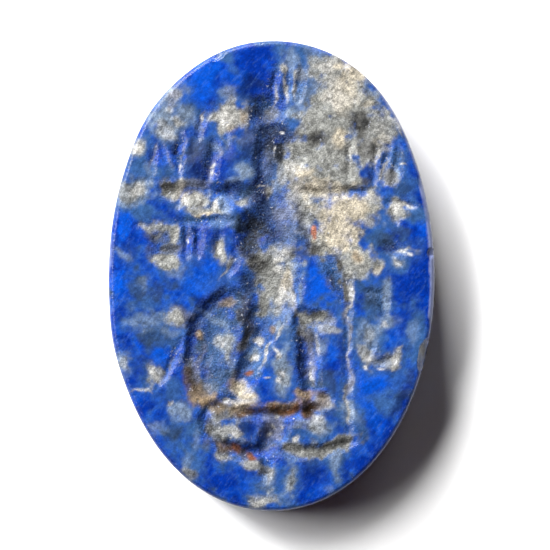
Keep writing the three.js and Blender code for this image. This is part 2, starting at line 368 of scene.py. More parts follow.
@dataclass(frozen=True)
class Engraving:
    """The figure and all that is cut round it, part by part, with what wear has done to it.

    SECTION is how full a cut's section is, and MEETING how sharply two cuts meet. WORN is how far the edges
    are worn round. The depth varies upwards from its SHALLOWEST share by UNEVEN, and the wheel strays by
    half of SWAY to each side.
    """

    SECTION = 0.85
    MEETING = 7
    WORN = 0.085
    SHALLOWEST = 0.72
    UNEVEN = 0.36
    SWAY = 0.24

    body: tuple[Groove | Hollow, ...] = (
        *feather_row(3, (0.0, 7.25), (0.25, 9.0), 0.53, 0.3, 0.2),
        Hollow((-0.19, 6.95), 1.6, 1.4, 0.32),
        Hollow((0.0, 6.15), 1.0, 0.9, 0.24),
        Hollow((-0.3, 4.9), 1.0, 2.6, 0.3),
        Hollow((0.78, 4.95), 1.1, 2.1, 0.3),
        Groove(((0.25, 5.9), (0.22, 3.2), (0.0, 0.6)), 1.9, 0.34, ends=Ends.TROUGH),
        Hollow((-0.75, 1.9), 1.5, 1.9, 0.44),
        Hollow((0.08, -0.35), 2.5, 3.6, 0.42),
    )
    limbs: tuple[Groove | Hollow, ...] = (
        Groove(((-0.4, -1.2), (-0.75, -3.1), (-1.55, -5.25)), 1.7, 0.44, 0.7, Ends.TROUGH),
        Groove(((1.2, -1.5), (1.5, -3.1), (1.65, -5.3)), 1.0, 0.4, 0.85, Ends.TROUGH),
        Hollow((1.95, -1.9), 1.45, 0.95, 0.32),
        Groove(((-1.15, -5.1), (-2.45, -5.4)), 0.6, 0.28),
        Groove(((1.5, -5.05), (2.5, -5.25)), 0.5, 0.26),
        Groove(((1.15, 3.0), (1.9, 1.4), (2.7, 0.35), (3.15, -1.0)), 0.78, 0.32, ends=Ends.TROUGH),
        Groove(((3.3, -0.1), (3.2, -3.4), (3.3, -6.8)), 0.22, 0.13, ends=Ends.TROUGH),
    )
    wings: tuple[Groove | Hollow, ...] = (
        Groove(((-0.2, 3.4), (-2.4, 3.55), (-4.75, 3.6)), 0.88, 0.24, ends=Ends.TROUGH),
        Groove(((-2.9, 7.25), (-2.4, 7.15), (-1.95, 6.0), (-1.75, 5.0)), 0.2, 0.1),
        Groove(((-2.75, 3.7), (-2.55, 4.8), (-2.4, 5.85)), 0.52, 0.22),
        Groove(((-3.15, 5.7), (-2.8, 7.0)), 0.32, 0.14),
        Groove(((-3.92, 4.2), (-3.85, 6.25)), 0.3, 0.17),
        Groove(((-4.2, 4.45), (-4.75, 5.65)), 0.24, 0.13),
        Groove(((-5.15, 4.1), (-4.85, 5.7)), 0.26, 0.12),
        *feather_row(3, (-2.85, 2.65), (-2.85, 3.25), 0.44, 0.3, 0.22),
        Groove(((-4.3, 2.3), (-1.3, 2.35)), 0.34, 0.16),
        *feather_row(2, (-3.6, 0.7), (-3.6, 2.3), 0.5, 0.38, 0.22),
        Groove(((-2.25, 0.8), (-2.22, 2.05)), 0.36, 0.16),
        Groove(((-1.45, 1.4), (-1.6, 0.6), (-1.95, -0.1)), 0.32, 0.14),
        Groove(((1.1, 3.6), (2.7, 3.55), (4.3, 3.62)), 0.42, 0.17),
        *feather_row(3, (4.25, 3.85), (4.5, 5.7), 0.46, 0.34, 0.18),
        Groove(((3.28, 3.85), (3.33, 5.85)), 0.34, 0.18),
        Groove(((4.7, 3.1), (6.2, 3.0)), 0.3, 0.15),
        Groove(((5.15, 3.0), (5.35, 2.1)), 0.36, 0.14),
    )
    tail: tuple[Groove | Hollow, ...] = (
        Hollow((-2.35, -2.6), 2.0, 4.6, 0.3, -16),
        *fan(
            4,
            ((-1.1, -0.75), (-2.55, -1.35), (-3.25, -2.6), (-3.2, -3.9), (-2.9, -5.1)),
            ((-1.35, -1.5), (-1.5, -2.1), (-1.72, -3.1), (-1.8, -4.1), (-1.85, -5.0)),
            0.8,
            0.24,
        ),
    )
    ring: tuple[Groove | Hollow, ...] = (
        Groove(((-2.85, -5.45), (-1.3, -5.75), (0.4, -5.82), (2.35, -5.45)), 0.5, 0.3, ends=Ends.TROUGH),
        Groove(((-2.75, -5.45), (-2.75, -6.4), (-2.05, -7.2)), 0.56, 0.26, ends=Ends.TROUGH),
        Groove(((-2.4, -7.0), (-1.2, -7.45), (0.1, -7.45)), 0.56, 0.4, ends=Ends.TROUGH),
        Groove(((-0.3, -7.4), (1.8, -7.4), (3.55, -7.0)), 0.52, 0.22, ends=Ends.TROUGH),
        Groove(((0.35, -5.85), (-0.15, -7.35)), 1.05, 0.38, ends=Ends.TROUGH),
        Hollow((1.67, -5.68), 0.8, 0.9, 0.48),
        Groove(((-0.2, -7.5), (-0.3, -8.65)), 0.5, 0.26),
    )
    field: tuple[Groove | Hollow, ...] = (
        Groove(((-3.83, -2.35), (-4.2, -3.65), (-4.85, -4.75)), 0.26, 0.15),
        Groove(((4.65, 1.35), (5.65, 1.0)), 0.5, 0.16),
        Groove(((3.85, -0.6), (4.6, -0.85), (4.85, -1.75)), 0.42, 0.16),
        Groove(((4.3, -2.7), (4.15, -3.5)), 0.3, 0.13),
        Groove(((4.25, -3.7), (5.35, -3.5)), 0.36, 0.16),
        Hollow((-4.5, 1.35), 1.45, 1.7, 0.16),
    )
    faint: tuple[Groove | Hollow, ...] = (
        Groove(((-6.3, 4.05), (-4.3, 4.05)), 0.22, 0.07),
        Groove(((-6.1, 2.2), (-4.3, 2.25)), 0.26, 0.08),
        Groove(((-4.15, 2.78), (-3.8, 3.05)), 0.2, 0.1),
        Groove(((3.6, -3.4), (3.62, -5.4)), 0.16, 0.05),
        Groove(((3.88, 5.0), (3.95, 6.4)), 0.45, 0.08),
    )

    def depth(self, face: FaceMap) -> np.ndarray:
        """Cuts the figure into a map of the face.

        Args:
            face: the map of the face.

        Returns:
            The depth of the carving, with its ridges and edges worn round, in millimetres.
        """
        total = face.blank()
        for group in (self.body, self.limbs, self.wings, self.tail, self.ring, self.field, self.faint):
            for cut in group:
                total += cut.depth_over(face) ** self.MEETING
        sunk = face.blur(total ** (1 / self.MEETING), self.WORN)
        sunk = sunk * (self.SHALLOWEST + self.UNEVEN * face.clouds(0.5, 3, Seed.CUT_DEPTH))
        x = face.x + self.SWAY * (face.clouds(0.45, 3, Seed.CUT_ACROSS) - 0.5)
        y = face.y + self.SWAY * (face.clouds(0.45, 3, Seed.CUT_ALONG) - 0.5)
        return face.sample(sunk, x, y)


# The stone's minerals and soil


class Mineral(Enum):
    """The mineral colours and the soil, with painted glints, painted sheen on lit walls and painted shade in
    the cuts, by their colours on screen in full light.
    """

    DEEP = (5, 62, 188)
    AZURE = (12, 104, 252)
    NAVY_AND_SHADE = (10, 36, 104)
    HAZE = (72, 118, 184)
    MIST = (150, 172, 202)
    PAINTED_SHEEN = (132, 138, 172)
    SLATE = (62, 84, 116)
    GREY = (182, 183, 178)
    ASH = (106, 105, 102)
    CHALK_AND_GLINT = (228, 226, 220)
    CREAM = (238, 226, 202)
    SOOT_AND_SHADE = (34, 38, 48)
    TAN = (172, 148, 118)
    UMBER = (108, 80, 52)
    RUST = (180, 112, 76)
    ROSE = (218, 142, 116)
    PAINTED_GLINT = (250, 250, 252)


@dataclass(frozen=True)
class Patch:
    """A patch of one mineral: its middle, its half sizes, its lean in degrees and its strength.

    HALO is how much further the milky stone round it reaches, and HALO_STRENGTH how strong that is.
    """

    HALO = 0.22
    HALO_STRENGTH = 0.55

    x: float
    y: float
    wide: float
    high: float
    lean: float = 0.0
    strength: float = 1.0

    def halo(self) -> "Patch":
        """Returns the larger and fainter patch of milky stone that lies round it."""
        wide, high = self.wide + self.HALO, self.high + self.HALO
        return Patch(self.x, self.y, wide, high, self.lean, self.HALO_STRENGTH * self.strength)

    def reach(self) -> float:
        """Returns how far from its middle any of it can lie, with its ragged edge."""
        return 2.2 * max(self.wide, self.high) + 0.35

    def over(self, x: np.ndarray, y: np.ndarray, ragged: np.ndarray, soft: float) -> np.ndarray:
        """Works out how much of the patch lies at each place.

        Args:
            x: the places across the stone.
            y: the places along it.
            ragged: what makes its edge uneven, round 0.
            soft: how gradually its edge fades, as a share of its size.

        Returns:
            A field between 0 and 1.
        """
        turn = math.radians(self.lean)
        across, along = x - self.x, y - self.y
        u = (across * math.cos(turn) + along * math.sin(turn)) / self.wide
        v = (along * math.cos(turn) - across * math.sin(turn)) / self.high
        calm = min(1, 1.6 * max(self.wide, self.high))
        share = np.clip((1 + soft - np.hypot(u, v) - calm * ragged) / (2 * soft), 0, 1)
        return self.strength * share * share * (3 - 2 * share)


def patches(*rows: tuple[float, ...]) -> tuple[Patch, ...]:
    """Returns patches from rows of their values, which are in Patch's order."""
    return tuple(Patch(*row) for row in rows)


@dataclass(frozen=True)
class Deposit:
    """One mineral's patches at one level, how softly their edges fade, and whether milk lies round them."""

    mineral: Mineral
    soft: float
    patches: tuple[Patch, ...]
    halo: bool = False

    def cover(self, face: FaceMap, x: np.ndarray, y: np.ndarray, ragged: np.ndarray) -> np.ndarray:
        """Works out how much of the mineral lies at each place.

        Args:
            face: the map of the face.
            x: where each sample looks across the stone, which makes the patches uneven.
            y: where it looks along it.
            ragged: what makes their edges uneven, round 0.

        Returns:
            A field between 0 and 1.
        """
        clear = face.blank() + 1
        for patch in self.patches:
            near = face.window(patch.x, patch.y, patch.reach())
            clear[near] *= 1 - patch.over(x[near], y[near], ragged[near], self.soft)
        return 1 - clear


@dataclass(frozen=True)
class MineralsAndPaintedLight:
    """The stone's colours, with painted glints, sheen and shade among them, laid one over the other from the
    lowest to the topmost.

    The mottling is where the deep blue turns to each other mineral, from one cloudiness to a higher one,
    and TURNED is how far. SWAY and RAGGED are how far the patches' shapes and edges stray. HALO_SOFTNESS is
    how softly the milky stone round the pale deposits fades.
    """

    SWAY = 0.7
    RAGGED = 1.7
    TURNED = 0.85
    HALO_SOFTNESS = 0.9

    mottling: tuple[tuple[Mineral, float, float], ...] = (
        (Mineral.AZURE, 0.4, 0.6),
        (Mineral.HAZE, 0.5, 0.72),
        (Mineral.SLATE, 0.6, 0.74),
    )
    deposits: tuple[Deposit, ...] = (
        Deposit(Mineral.DEEP, 0.35, patches(
            (-2.4, 8.3, 1.75, 0.85, 22), (-0.8, 8.6, 1.0, 1.15), (-6.2, 1.9, 0.5, 1.0), (-4.4, 2.7, 0.6, 0.4),
            (-2.9, 0.0, 1.1, 0.8), (2.75, -3.4, 0.3, 1.0), (4.5, -6.6, 1.05, 1.15), (5.4, -5.3, 0.5, 0.6),
            (-6.21, -2.71, 0.38, 0.55), (-5.91, -4.15, 0.3, 0.42), (-5.57, -5.47, 0.51, 0.38),
            (-6.5, 0.04, 0.25, 0.51), (6.12, 4.28, 0.21, 0.59, 20), (-1.97, -8.73, 1.02, 0.59),
            (1.84, -8.43, 0.64, 0.59), (6.08, 0.04, 0.72, 1.44), (3.96, -8.22, 0.59, 0.59),
            (-2.82, -8.22, 0.34, 0.34), (3.11, -8.22, 0.21, 0.51),
        )),
        Deposit(Mineral.AZURE, 0.45, patches(
            (-6.3, 2.2, 0.25, 0.8), (-2.9, 0.0, 0.9, 0.6), (-0.36, -4.24, 0.38, 0.42),
            (1.84, -3.98, 0.21, 0.51), (1.76, 0.08, 0.3, 0.34), (-6.16, 2.29, 0.25, 0.68),
            (1.97, -0.38, 0.38, 0.64), (2.48, -3.14, 0.21, 0.38), (-2.82, 8.64, 0.59, 0.42),
            (-6.42, -0.38, 0.3, 0.59), (-3.24, -0.25, 0.59, 0.55), (-4.72, -3.22, 0.38, 0.34),
            (-5.87, -5.17, 0.34, 0.25, 0, 0.6), (6.29, 2.16, 0.25, 0.51, 10, 0.7),
            (-6.42, -2.2, 0.25, 0.25, 0, 0.6), (4.26, -5.59, 0.76, 0.93, 0, 0.8), (5.02, -2.71, 0.51, 0.38),
            (4.51, -4.49, 1.02, 0.47), (-1.0, -8.86, 0.42, 0.34, 0, 0.6), (2.48, -8.94, 0.38, 0.25, 0, 0.6),
            (3.67, -6.95, 0.34, 0.59, 0, 0.6), (-3.03, 8.14, 1.02, 0.76, 25, 0.85),
            (-1.5, 8.39, 0.51, 0.51, 0, 0.6), (-2.61, 0.47, 0.68, 0.42, 0, 0.5),
            (1.72, -0.59, 0.34, 0.68, 0, 0.6),
        )),
        Deposit(Mineral.HAZE, 0.6, patches(
            (-0.28, -1.86, 0.76, 1.69, 0, 0.6), (-2.39, -2.71, 0.68, 1.27, 0, 0.5),
            (0.78, 6.61, 0.68, 0.68, 0, 0.6), (-2.0, 9.25, 0.4, 0.25), (-1.6, 8.8, 0.25, 0.2, 0, 0.7),
            (-0.1, 9.8, 0.6, 0.2), (-1.8, 7.75, 0.4, 0.35, 0, 0.7), (-5.5, 4.6, 0.6, 0.4),
            (-4.9, 4.25, 0.5, 0.3), (-5.4, 2.8, 0.6, 0.3), (-3.0, 2.35, 0.6, 0.15), (-3.4, -6.6, 0.4, 0.5),
            (4.5, 1.6, 0.4, 0.4), (6.0, 2.6, 0.5, 0.4), (4.9, -5.3, 0.6, 0.4, 0, 0.8),
            (3.3, -6.0, 0.5, 0.8, 0, 0.8), (2.4, 0.3, 0.35, 0.3, 0, 0.8), (-2.27, -1.78, 0.68, 0.38, 25),
            (-2.52, -3.14, 0.34, 0.59), (0.78, -2.92, 0.34, 0.68, 0, 0.7), (-0.61, -4.07, 0.25, 0.34),
            (-5.15, 2.58, 0.51, 0.21, 0, 0.7), (1.21, 9.24, 0.93, 0.68, 0, 0.9),
            (1.42, 8.09, 0.68, 0.85, 0, 0.9), (5.78, 3.81, 0.51, 0.59, 0, 0.75),
            (5.19, 5.0, 0.38, 0.38, 0, 0.8), (-4.22, -4.83, 0.51, 0.51, 0, 0.8),
            (-5.15, -1.02, 0.68, 0.34, 0, 0.7), (-5.49, -1.78, 0.93, 0.59, 0, 0.8),
            (4.81, 2.29, 0.42, 0.34, 0, 0.6), (-4.3, -2.5, 0.51, 0.42, 0, 0.6),
            (-3.37, -7.63, 0.55, 0.76, 0, 0.9), (6.16, -2.46, 0.38, 1.1), (2.73, -8.01, 0.34, 0.72),
            (1.97, -6.52, 0.85, 0.34, 0, 0.9), (4.81, -5.47, 0.59, 0.42, 0, 0.7), (4.39, -1.02, 0.76, 0.59),
            (4.26, -2.29, 0.76, 0.76), (5.44, -4.62, 0.34, 0.59, 0, 0.6), (5.23, 0.47, 0.51, 0.34, 0, 0.7),
            (-1.84, -6.61, 0.85, 0.51, 0, 0.8), (0.74, -8.56, 0.47, 0.85, 0, 0.8), (-0.4, -9.49, 0.59, 0.42),
            (-4.22, -6.95, 0.42, 0.51, 0, 0.7), (-2.39, -0.17, 1.1, 0.51, 0, 0.4),
            (-3.45, 0.59, 0.51, 0.34, 0, 0.4),
        )),
        Deposit(Mineral.SLATE, 0.5, patches(
            (-0.4, 4.7, 0.85, 2.46, 0, 0.75), (-2.39, -2.92, 1.02, 2.03, 0, 0.5),
            (0.15, 2.16, 1.02, 1.02, 0, 0.7), (-1.33, -1.02, 0.59, 1.27, 0, 0.4),
            (-3.0, 5.3, 0.6, 0.6, 0, 0.7), (-3.5, 4.6, 0.4, 0.45, 0, 0.6), (5.4, 1.9, 0.4, 0.25, 0, 0.7),
            (2.5, -4.6, 0.4, 0.55, 0, 0.8), (3.7, -6.5, 0.25, 0.4, 0, 0.7), (2.8, -0.2, 0.3, 0.6, 0, 0.8),
            (-3.11, -2.92, 0.3, 0.68), (-1.67, -4.07, 0.42, 0.51), (-2.39, -4.62, 0.51, 0.51),
            (-0.91, -1.86, 0.34, 0.93, 0, 0.7), (-1.04, -4.07, 0.34, 0.42, 0, 0.6),
            (-1.33, -1.02, 0.25, 0.59), (-0.91, 3.43, 0.42, 0.34), (-1.55, 2.16, 0.34, 0.42),
            (-3.45, 5.25, 0.25, 0.51, 0, 0.8), (1.0, 1.74, 0.42, 0.42, 0, 0.8),
            (-5.49, -0.47, 0.42, 0.42, 0, 0.8), (-4.81, -0.68, 0.34, 0.3, 0, 0.7),
            (-5.06, -2.5, 0.68, 0.38, 0, 0.8), (-5.15, -3.01, 0.34, 0.25, 0, 0.5),
            (5.44, 4.83, 0.34, 0.3, 0, 0.7), (-5.32, -4.07, 0.38, 0.51, 0, 0.6),
            (5.53, 3.64, 0.34, 0.34, 0, 0.5), (-4.17, -0.34, 0.3, 0.3, 0, 0.5),
            (4.26, -0.89, 0.55, 0.47, 0, 0.9), (-4.22, -6.61, 0.34, 0.34, 0, 0.9),
            (4.81, 1.4, 0.59, 0.34, 0, 0.9), (4.64, -3.6, 0.34, 0.21, 0, 0.8),
            (5.87, -4.41, 0.21, 0.51, 0, 0.6), (5.66, -5.08, 0.38, 0.21, 0, 0.7),
            (4.51, -1.44, 0.34, 0.42, 10, 0.6), (-0.06, -7.29, 0.51, 0.17, 0, 0.7),
            (2.48, -5.76, 0.34, 0.25, 0, 0.6),
        )),
        Deposit(Mineral.MIST, 0.55, patches(
            (-5.75, 5.35, 0.3, 0.35), (-5.7, 3.6, 0.65, 0.35), (3.2, -5.7, 0.28, 0.5),
            (-2.01, -2.8, 0.34, 0.51), (-1.93, -3.22, 0.25, 0.42, 0, 0.7), (-2.82, -4.62, 0.3, 0.25),
            (0.11, -1.23, 0.21, 0.59, -10), (0.19, -2.2, 0.17, 0.25), (0.49, -4.07, 0.3, 0.85),
            (0.4, -4.75, 0.34, 0.34), (-0.83, -3.47, 0.21, 0.21), (-2.48, -4.75, 0.25, 0.21, 0, 0.6),
            (2.14, -2.92, 0.21, 0.34, 0, 0.6), (0.91, 6.95, 0.21, 0.25), (-1.17, 4.41, 0.3, 0.34),
            (-1.55, 4.07, 0.38, 0.17, 0, 0.7), (-2.1, 2.71, 0.34, 0.34, 0, 0.8),
            (-2.1, 3.09, 0.25, 0.17, 0, 0.7), (0.32, 3.94, 0.21, 0.25, 0, 0.6),
            (-2.01, 5.85, 0.08, 0.38, 12, 0.6), (-4.09, 7.67, 0.47, 0.59), (-4.51, 5.89, 0.38, 0.25),
            (-3.62, 6.69, 0.25, 0.34), (-5.61, 5.3, 0.25, 0.25), (-5.83, 3.47, 0.64, 0.34),
            (-6.29, 0.97, 0.21, 0.25, 0, 0.7), (-2.52, 5.55, 0.21, 0.25, 0, 0.6),
            (-6.0, 3.22, 0.42, 0.25, 0, 0.6), (-1.0, 4.41, 0.34, 0.34, 0, 0.8),
            (1.38, 7.03, 0.38, 0.38, 0, 0.6), (0.87, 0.25, 0.17, 0.68, 0, 0.6),
            (0.57, -1.95, 0.21, 0.51, 0, 0.6), (-2.52, -1.78, 0.68, 0.21, -35, 0.6),
            (1.21, -0.59, 0.08, 0.59, -4, 0.7), (0.87, 9.07, 0.34, 0.51, 0, 0.7),
            (1.72, 7.97, 0.34, 0.59, 0, 0.6), (1.97, 9.32, 0.34, 0.34, 0, 0.6),
            (1.21, 7.46, 0.34, 0.34, 0, 0.5), (-1.67, -3.64, 0.25, 0.42, 0, 0.5),
            (4.22, 7.8, 0.21, 0.51, 25, 0.8), (-5.36, -1.78, 0.72, 0.42, 0, 0.6),
            (-6.33, -3.64, 0.25, 0.47, 0, 0.85), (-5.4, -0.34, 0.25, 0.25, 0, 0.5),
            (-3.88, -5.76, 0.42, 0.3, 0, 0.9), (-4.81, -6.36, 0.3, 0.25, 0, 0.6),
            (-4.3, -2.29, 0.25, 0.21, 0, 0.5), (-4.13, 0.25, 0.38, 0.21, 0, 0.5), (5.32, 4.41, 0.13, 0.21),
            (5.57, 1.02, 0.51, 0.15, 18, 0.8), (5.23, 0.59, 0.21, 0.21, 0, 0.8),
            (4.89, -0.72, 0.17, 0.51, -6, 0.85), (4.85, -1.86, 0.47, 0.34, 0, 0.8),
            (4.09, -2.29, 0.42, 0.59, 0, 0.8), (2.73, -8.01, 0.21, 0.64, 0, 0.7),
            (0.74, -8.56, 0.3, 0.72, -6, 0.8), (1.97, -6.4, 0.64, 0.25, 0, 0.6),
            (3.16, -5.68, 0.13, 0.85, 0, 0.5), (-3.54, -7.88, 0.25, 0.42, 0, 0.5),
            (6.0, -2.42, 0.17, 0.51, 0, 0.4), (-0.23, -8.56, 0.21, 0.51, -6, 0.8),
            (-3.24, -7.03, 0.17, 0.34, 0, 0.5), (2.48, -9.07, 0.17, 0.25, 0, 0.4),
            (3.41, -6.1, 0.34, 0.34, 0, 0.4), (-3.75, 3.01, 0.34, 0.21, 0, 0.4),
            (3.11, -2.29, 0.08, 0.68, 0, 0.5), (-5.15, 4.49, 0.21, 0.34, 0, 0.5), (-4.39, 6.52, 0.72, 0.64),
            (-3.62, 6.78, 0.34, 0.38, 0, 0.7), (-3.24, 6.36, 0.21, 0.3, 0, 0.4),
            (-1.8, 7.67, 0.34, 0.34, 0, 0.55),
        ), halo=True),
        Deposit(Mineral.GREY, 0.4, patches(
            (2.6, 8.3, 0.75, 1.05), (2.5, 7.1, 0.8, 0.6), (2.0, 4.8, 1.1, 0.6), (3.0, 4.0, 1.0, 0.35),
            (4.2, 2.8, 0.5, 0.8), (3.3, 0.9, 0.7, 0.4), (3.4, 0.2, 0.5, 0.25, 0, 0.8), (5.3, 2.7, 0.35, 0.45),
            (-4.0, 3.7, 0.55, 0.3), (-3.3, 3.1, 0.6, 0.4), (-2.6, 2.6, 0.5, 0.2),
            (-3.2, 3.9, 0.4, 0.2, 0, 0.6), (1.63, -1.78, 0.59, 0.34), (2.14, -1.69, 0.34, 0.25),
            (-1.84, -1.14, 0.38, 0.17, 15, 0.6), (0.49, -4.41, 0.25, 0.42, 0, 0.5),
            (1.33, -2.29, 0.25, 0.34, 0, 0.7), (-1.72, 6.61, 0.47, 0.64), (0.15, 6.95, 0.34, 0.3, 0, 0.5),
            (-1.21, 3.14, 0.25, 0.25, 0, 0.5), (-0.15, 3.64, 0.17, 0.34, 0, 0.7),
            (-0.4, 0.59, 0.51, 0.51, 0, 0.8), (0.02, -0.08, 0.55, 0.51), (1.97, 1.23, 0.42, 0.34),
            (1.04, 3.64, 0.51, 0.34), (1.21, 5.34, 0.68, 0.68), (1.63, 3.86, 0.93, 0.76),
            (1.42, 3.01, 0.51, 0.42), (2.48, 5.34, 0.68, 0.59), (1.84, 6.52, 0.59, 0.68),
            (0.57, 4.49, 0.34, 0.68, 0, 0.7), (2.48, 6.19, 0.51, 0.59), (1.21, 2.29, 0.34, 0.25, 0, 0.4),
            (-0.06, 0.25, 0.68, 0.76, 0, 0.8), (-0.15, -0.81, 0.51, 0.59), (2.27, 1.53, 0.59, 0.59),
            (-4.81, 1.99, 0.59, 0.25, 0, 0.9), (-4.51, 0.68, 0.68, 0.3), (-4.17, 1.74, 0.21, 0.42),
            (-2.14, 1.1, 0.25, 0.47), (-1.76, 0.59, 0.17, 0.34, -20, 0.8), (1.04, 4.58, 0.51, 0.68, 0, 0.9),
            (1.97, 2.71, 0.34, 0.51, 0, 0.8), (1.42, 2.46, 0.34, 0.51, 0, 0.7),
            (-1.12, 3.09, 0.3, 0.25, 0, 0.8), (0.11, 0.76, 1.1, 0.34, 0, 0.7),
            (0.78, -0.38, 0.21, 1.1, 0, 0.6), (-0.06, 6.69, 0.25, 0.34, 0, 0.4),
            (0.61, 2.63, 0.42, 0.34, 0, 0.35), (2.27, -2.29, 0.51, 0.21, -25, 0.7),
            (2.48, -1.86, 0.3, 0.34, 0, 0.6), (-1.84, -3.22, 0.17, 0.68, 0, 0.5),
            (0.02, 5.34, 0.25, 0.59, 0, 0.3), (1.97, 8.9, 0.34, 0.42, 0, 0.7),
            (1.29, 8.64, 0.21, 0.42, 0, 0.5), (-3.45, -3.77, 0.17, 0.34, 0, 0.4), (3.41, 8.14, 0.59, 0.93),
            (3.67, 7.46, 0.76, 0.68), (4.51, 6.52, 0.68, 0.59, 20, 0.95), (3.11, 6.52, 0.51, 0.68),
            (3.33, 5.55, 0.42, 0.51), (4.0, 5.34, 0.42, 0.68, 0, 0.95), (4.81, 5.93, 0.38, 0.34, 0, 0.9),
            (5.02, 4.15, 0.34, 0.38, 0, 0.8), (3.11, 4.41, 0.42, 0.59), (-3.96, -1.69, 0.51, 0.3, 8, 0.95),
            (-5.02, -4.19, 0.3, 0.51, 0, 0.8), (-6.25, -3.64, 0.17, 0.34, 0, 0.5),
            (4.0, 6.27, 0.51, 0.51, 0, 0.8), (3.75, 6.95, 0.42, 0.34), (-1.89, -6.52, 0.68, 0.38, 0, 0.85),
            (-2.01, -7.63, 0.3, 0.3, 0, 0.85), (-0.91, -7.92, 0.42, 0.25, -15, 0.85),
            (1.42, -7.37, 0.85, 0.23, 2, 0.9), (2.82, -7.08, 0.68, 0.28, 16, 0.9),
            (-0.4, -9.49, 0.51, 0.34, 0, 0.85), (0.74, -8.64, 0.17, 0.51, -6, 0.6),
            (4.0, -3.22, 0.25, 0.38, 20, 0.8), (5.19, -3.43, 0.25, 0.42, 0, 0.85),
            (-2.27, -5.76, 0.59, 0.3, 0, 0.8), (2.14, -5.42, 0.38, 0.38, 0, 0.7),
            (4.09, -2.46, 0.21, 0.34, 0, 0.5), (3.83, 0.59, 0.51, 0.51), (4.43, 0.34, 0.3, 0.3, 0, 0.8),
            (1.89, -6.31, 0.42, 0.3, 0, 0.6), (-1.12, -5.47, 0.59, 0.25, 0, 0.6),
            (6.59, -3.56, 0.17, 0.55, 8, 0.7), (-3.54, -8.22, 0.34, 0.21, -30, 0.6),
            (-6.0, 3.56, 0.51, 0.3, 0, 0.7), (1.63, -7.29, 0.93, 0.28, 2, 0.6),
            (2.48, -7.2, 0.76, 0.25, 12, 0.5), (-2.39, -6.31, 0.34, 0.59, 0, 0.5),
            (-1.33, -7.03, 0.34, 0.17, 0, 0.3), (1.21, -6.31, 0.68, 0.21, 0, 0.4), (3.11, 0.59, 0.42, 0.34),
            (-1.67, 6.61, 0.72, 0.64, 0, 0.9), (-4.0, 7.54, 0.25, 0.51, -20, 0.7),
            (0.53, 1.1, 0.59, 0.25, 0, 0.5), (1.5, 2.03, 0.38, 0.64, 0, 0.6),
            (4.26, -3.47, 0.34, 0.34, 0, 0.7), (4.98, -3.56, 0.34, 0.34, 0, 0.65),
            (-1.76, -3.14, 0.34, 0.64, -10, 0.4),
        ), halo=True),
        Deposit(Mineral.ASH, 0.5, patches(
            (-4.3, 3.8, 0.3, 0.15), (2.75, 0.5, 0.14, 0.35), (3.1, -0.6, 0.16, 0.6),
            (-3.24, -4.41, 0.34, 0.42, 0, 0.8), (-1.04, -1.65, 0.25, 1.02, -3, 0.8),
            (1.46, -2.54, 0.3, 0.51, 0, 0.8), (-1.42, -4.19, 0.25, 0.38, 0, 0.7),
            (1.97, -1.53, 0.42, 0.17, 0, 0.5), (-1.21, -2.92, 0.17, 0.34, 0, 0.8),
            (1.63, -1.82, 0.51, 0.25, 0, 0.3), (-0.57, 0.51, 0.38, 0.34, 0, 0.7),
            (1.89, 1.27, 0.34, 0.25, 0, 0.6), (2.48, -0.21, 0.21, 0.21, 0, 0.5),
            (1.97, 5.89, 0.34, 0.25, 0, 0.7), (-4.22, 1.19, 0.51, 0.21, 10, 0.8),
            (-4.81, 1.57, 0.47, 0.17, 0, 0.6), (-4.39, 3.81, 0.34, 0.21, 0, 0.8),
            (-5.15, 1.02, 0.21, 0.34, 0, 0.4), (1.63, 1.1, 0.42, 0.3, 0, 0.8),
            (1.63, 5.97, 0.42, 0.21, 0, 0.6), (-0.7, 0.59, 0.38, 0.34, 0, 0.5),
            (1.55, -2.92, 0.25, 0.42, 0, 0.6), (3.75, 6.52, 0.47, 0.38, 0, 0.85),
            (4.0, 5.51, 0.38, 0.51, 0, 0.8), (3.58, 3.77, 0.64, 0.11, 0, 0.8),
            (5.02, 4.15, 0.21, 0.3, 0, 0.7), (3.11, 6.95, 0.25, 0.25, 0, 0.4),
            (-2.9, -4.96, 0.59, 0.42, 0, 0.7), (-2.73, -6.44, 0.17, 0.55, 0, 0.8),
            (-2.1, -5.76, 0.59, 0.25, 0, 0.6), (1.42, -7.41, 0.85, 0.19, 2, 0.6),
            (2.82, -7.12, 0.64, 0.21, 16, 0.65), (-2.1, -7.25, 0.51, 0.17, -25, 0.8),
            (-0.4, -8.22, 0.25, 0.21, 0, 0.8), (-1.33, -5.85, 0.85, 0.17, -6, 0.7),
            (2.14, -5.42, 0.3, 0.25, 0, 0.5), (6.63, -3.64, 0.13, 0.51, 8, 0.8),
            (-0.91, -7.97, 0.25, 0.17, -15, 0.5), (-3.58, -8.26, 0.34, 0.17, -30, 0.6),
            (-1.12, -7.58, 0.42, 0.17, -25, 0.7), (-2.82, -7.16, 0.17, 0.34, 0, 0.5),
            (-3.24, -4.41, 0.38, 0.51, 0, 0.5), (-2.39, -5.59, 0.42, 0.21, 0, 0.6),
            (0.78, 0.89, 0.34, 0.25, 0, 0.4), (4.26, 5.34, 0.38, 0.42, 0, 0.4),
            (2.9, 5.55, 0.34, 0.34, 0, 0.35), (3.41, 4.7, 0.34, 0.34, 0, 0.35),
            (1.97, 5.76, 0.51, 0.25, 0, 0.5), (1.63, 1.23, 0.34, 0.34, 0, 0.5),
        )),
        # White calcite, and among it painted glints and bright lines where the plumes', feathers' and staff's
        # cut walls catch the lamps.
        Deposit(Mineral.CHALK_AND_GLINT, 0.6, patches(
            (2.45, 8.9, 0.35, 0.25), (2.7, 7.5, 0.4, 0.3), (2.6, 8.15, 0.4, 0.3, 0, 0.7),
            (-5.75, 5.4, 0.25, 0.28), (-3.65, 3.2, 0.22, 0.25), (-2.92, 2.95, 0.08, 0.3, 15),
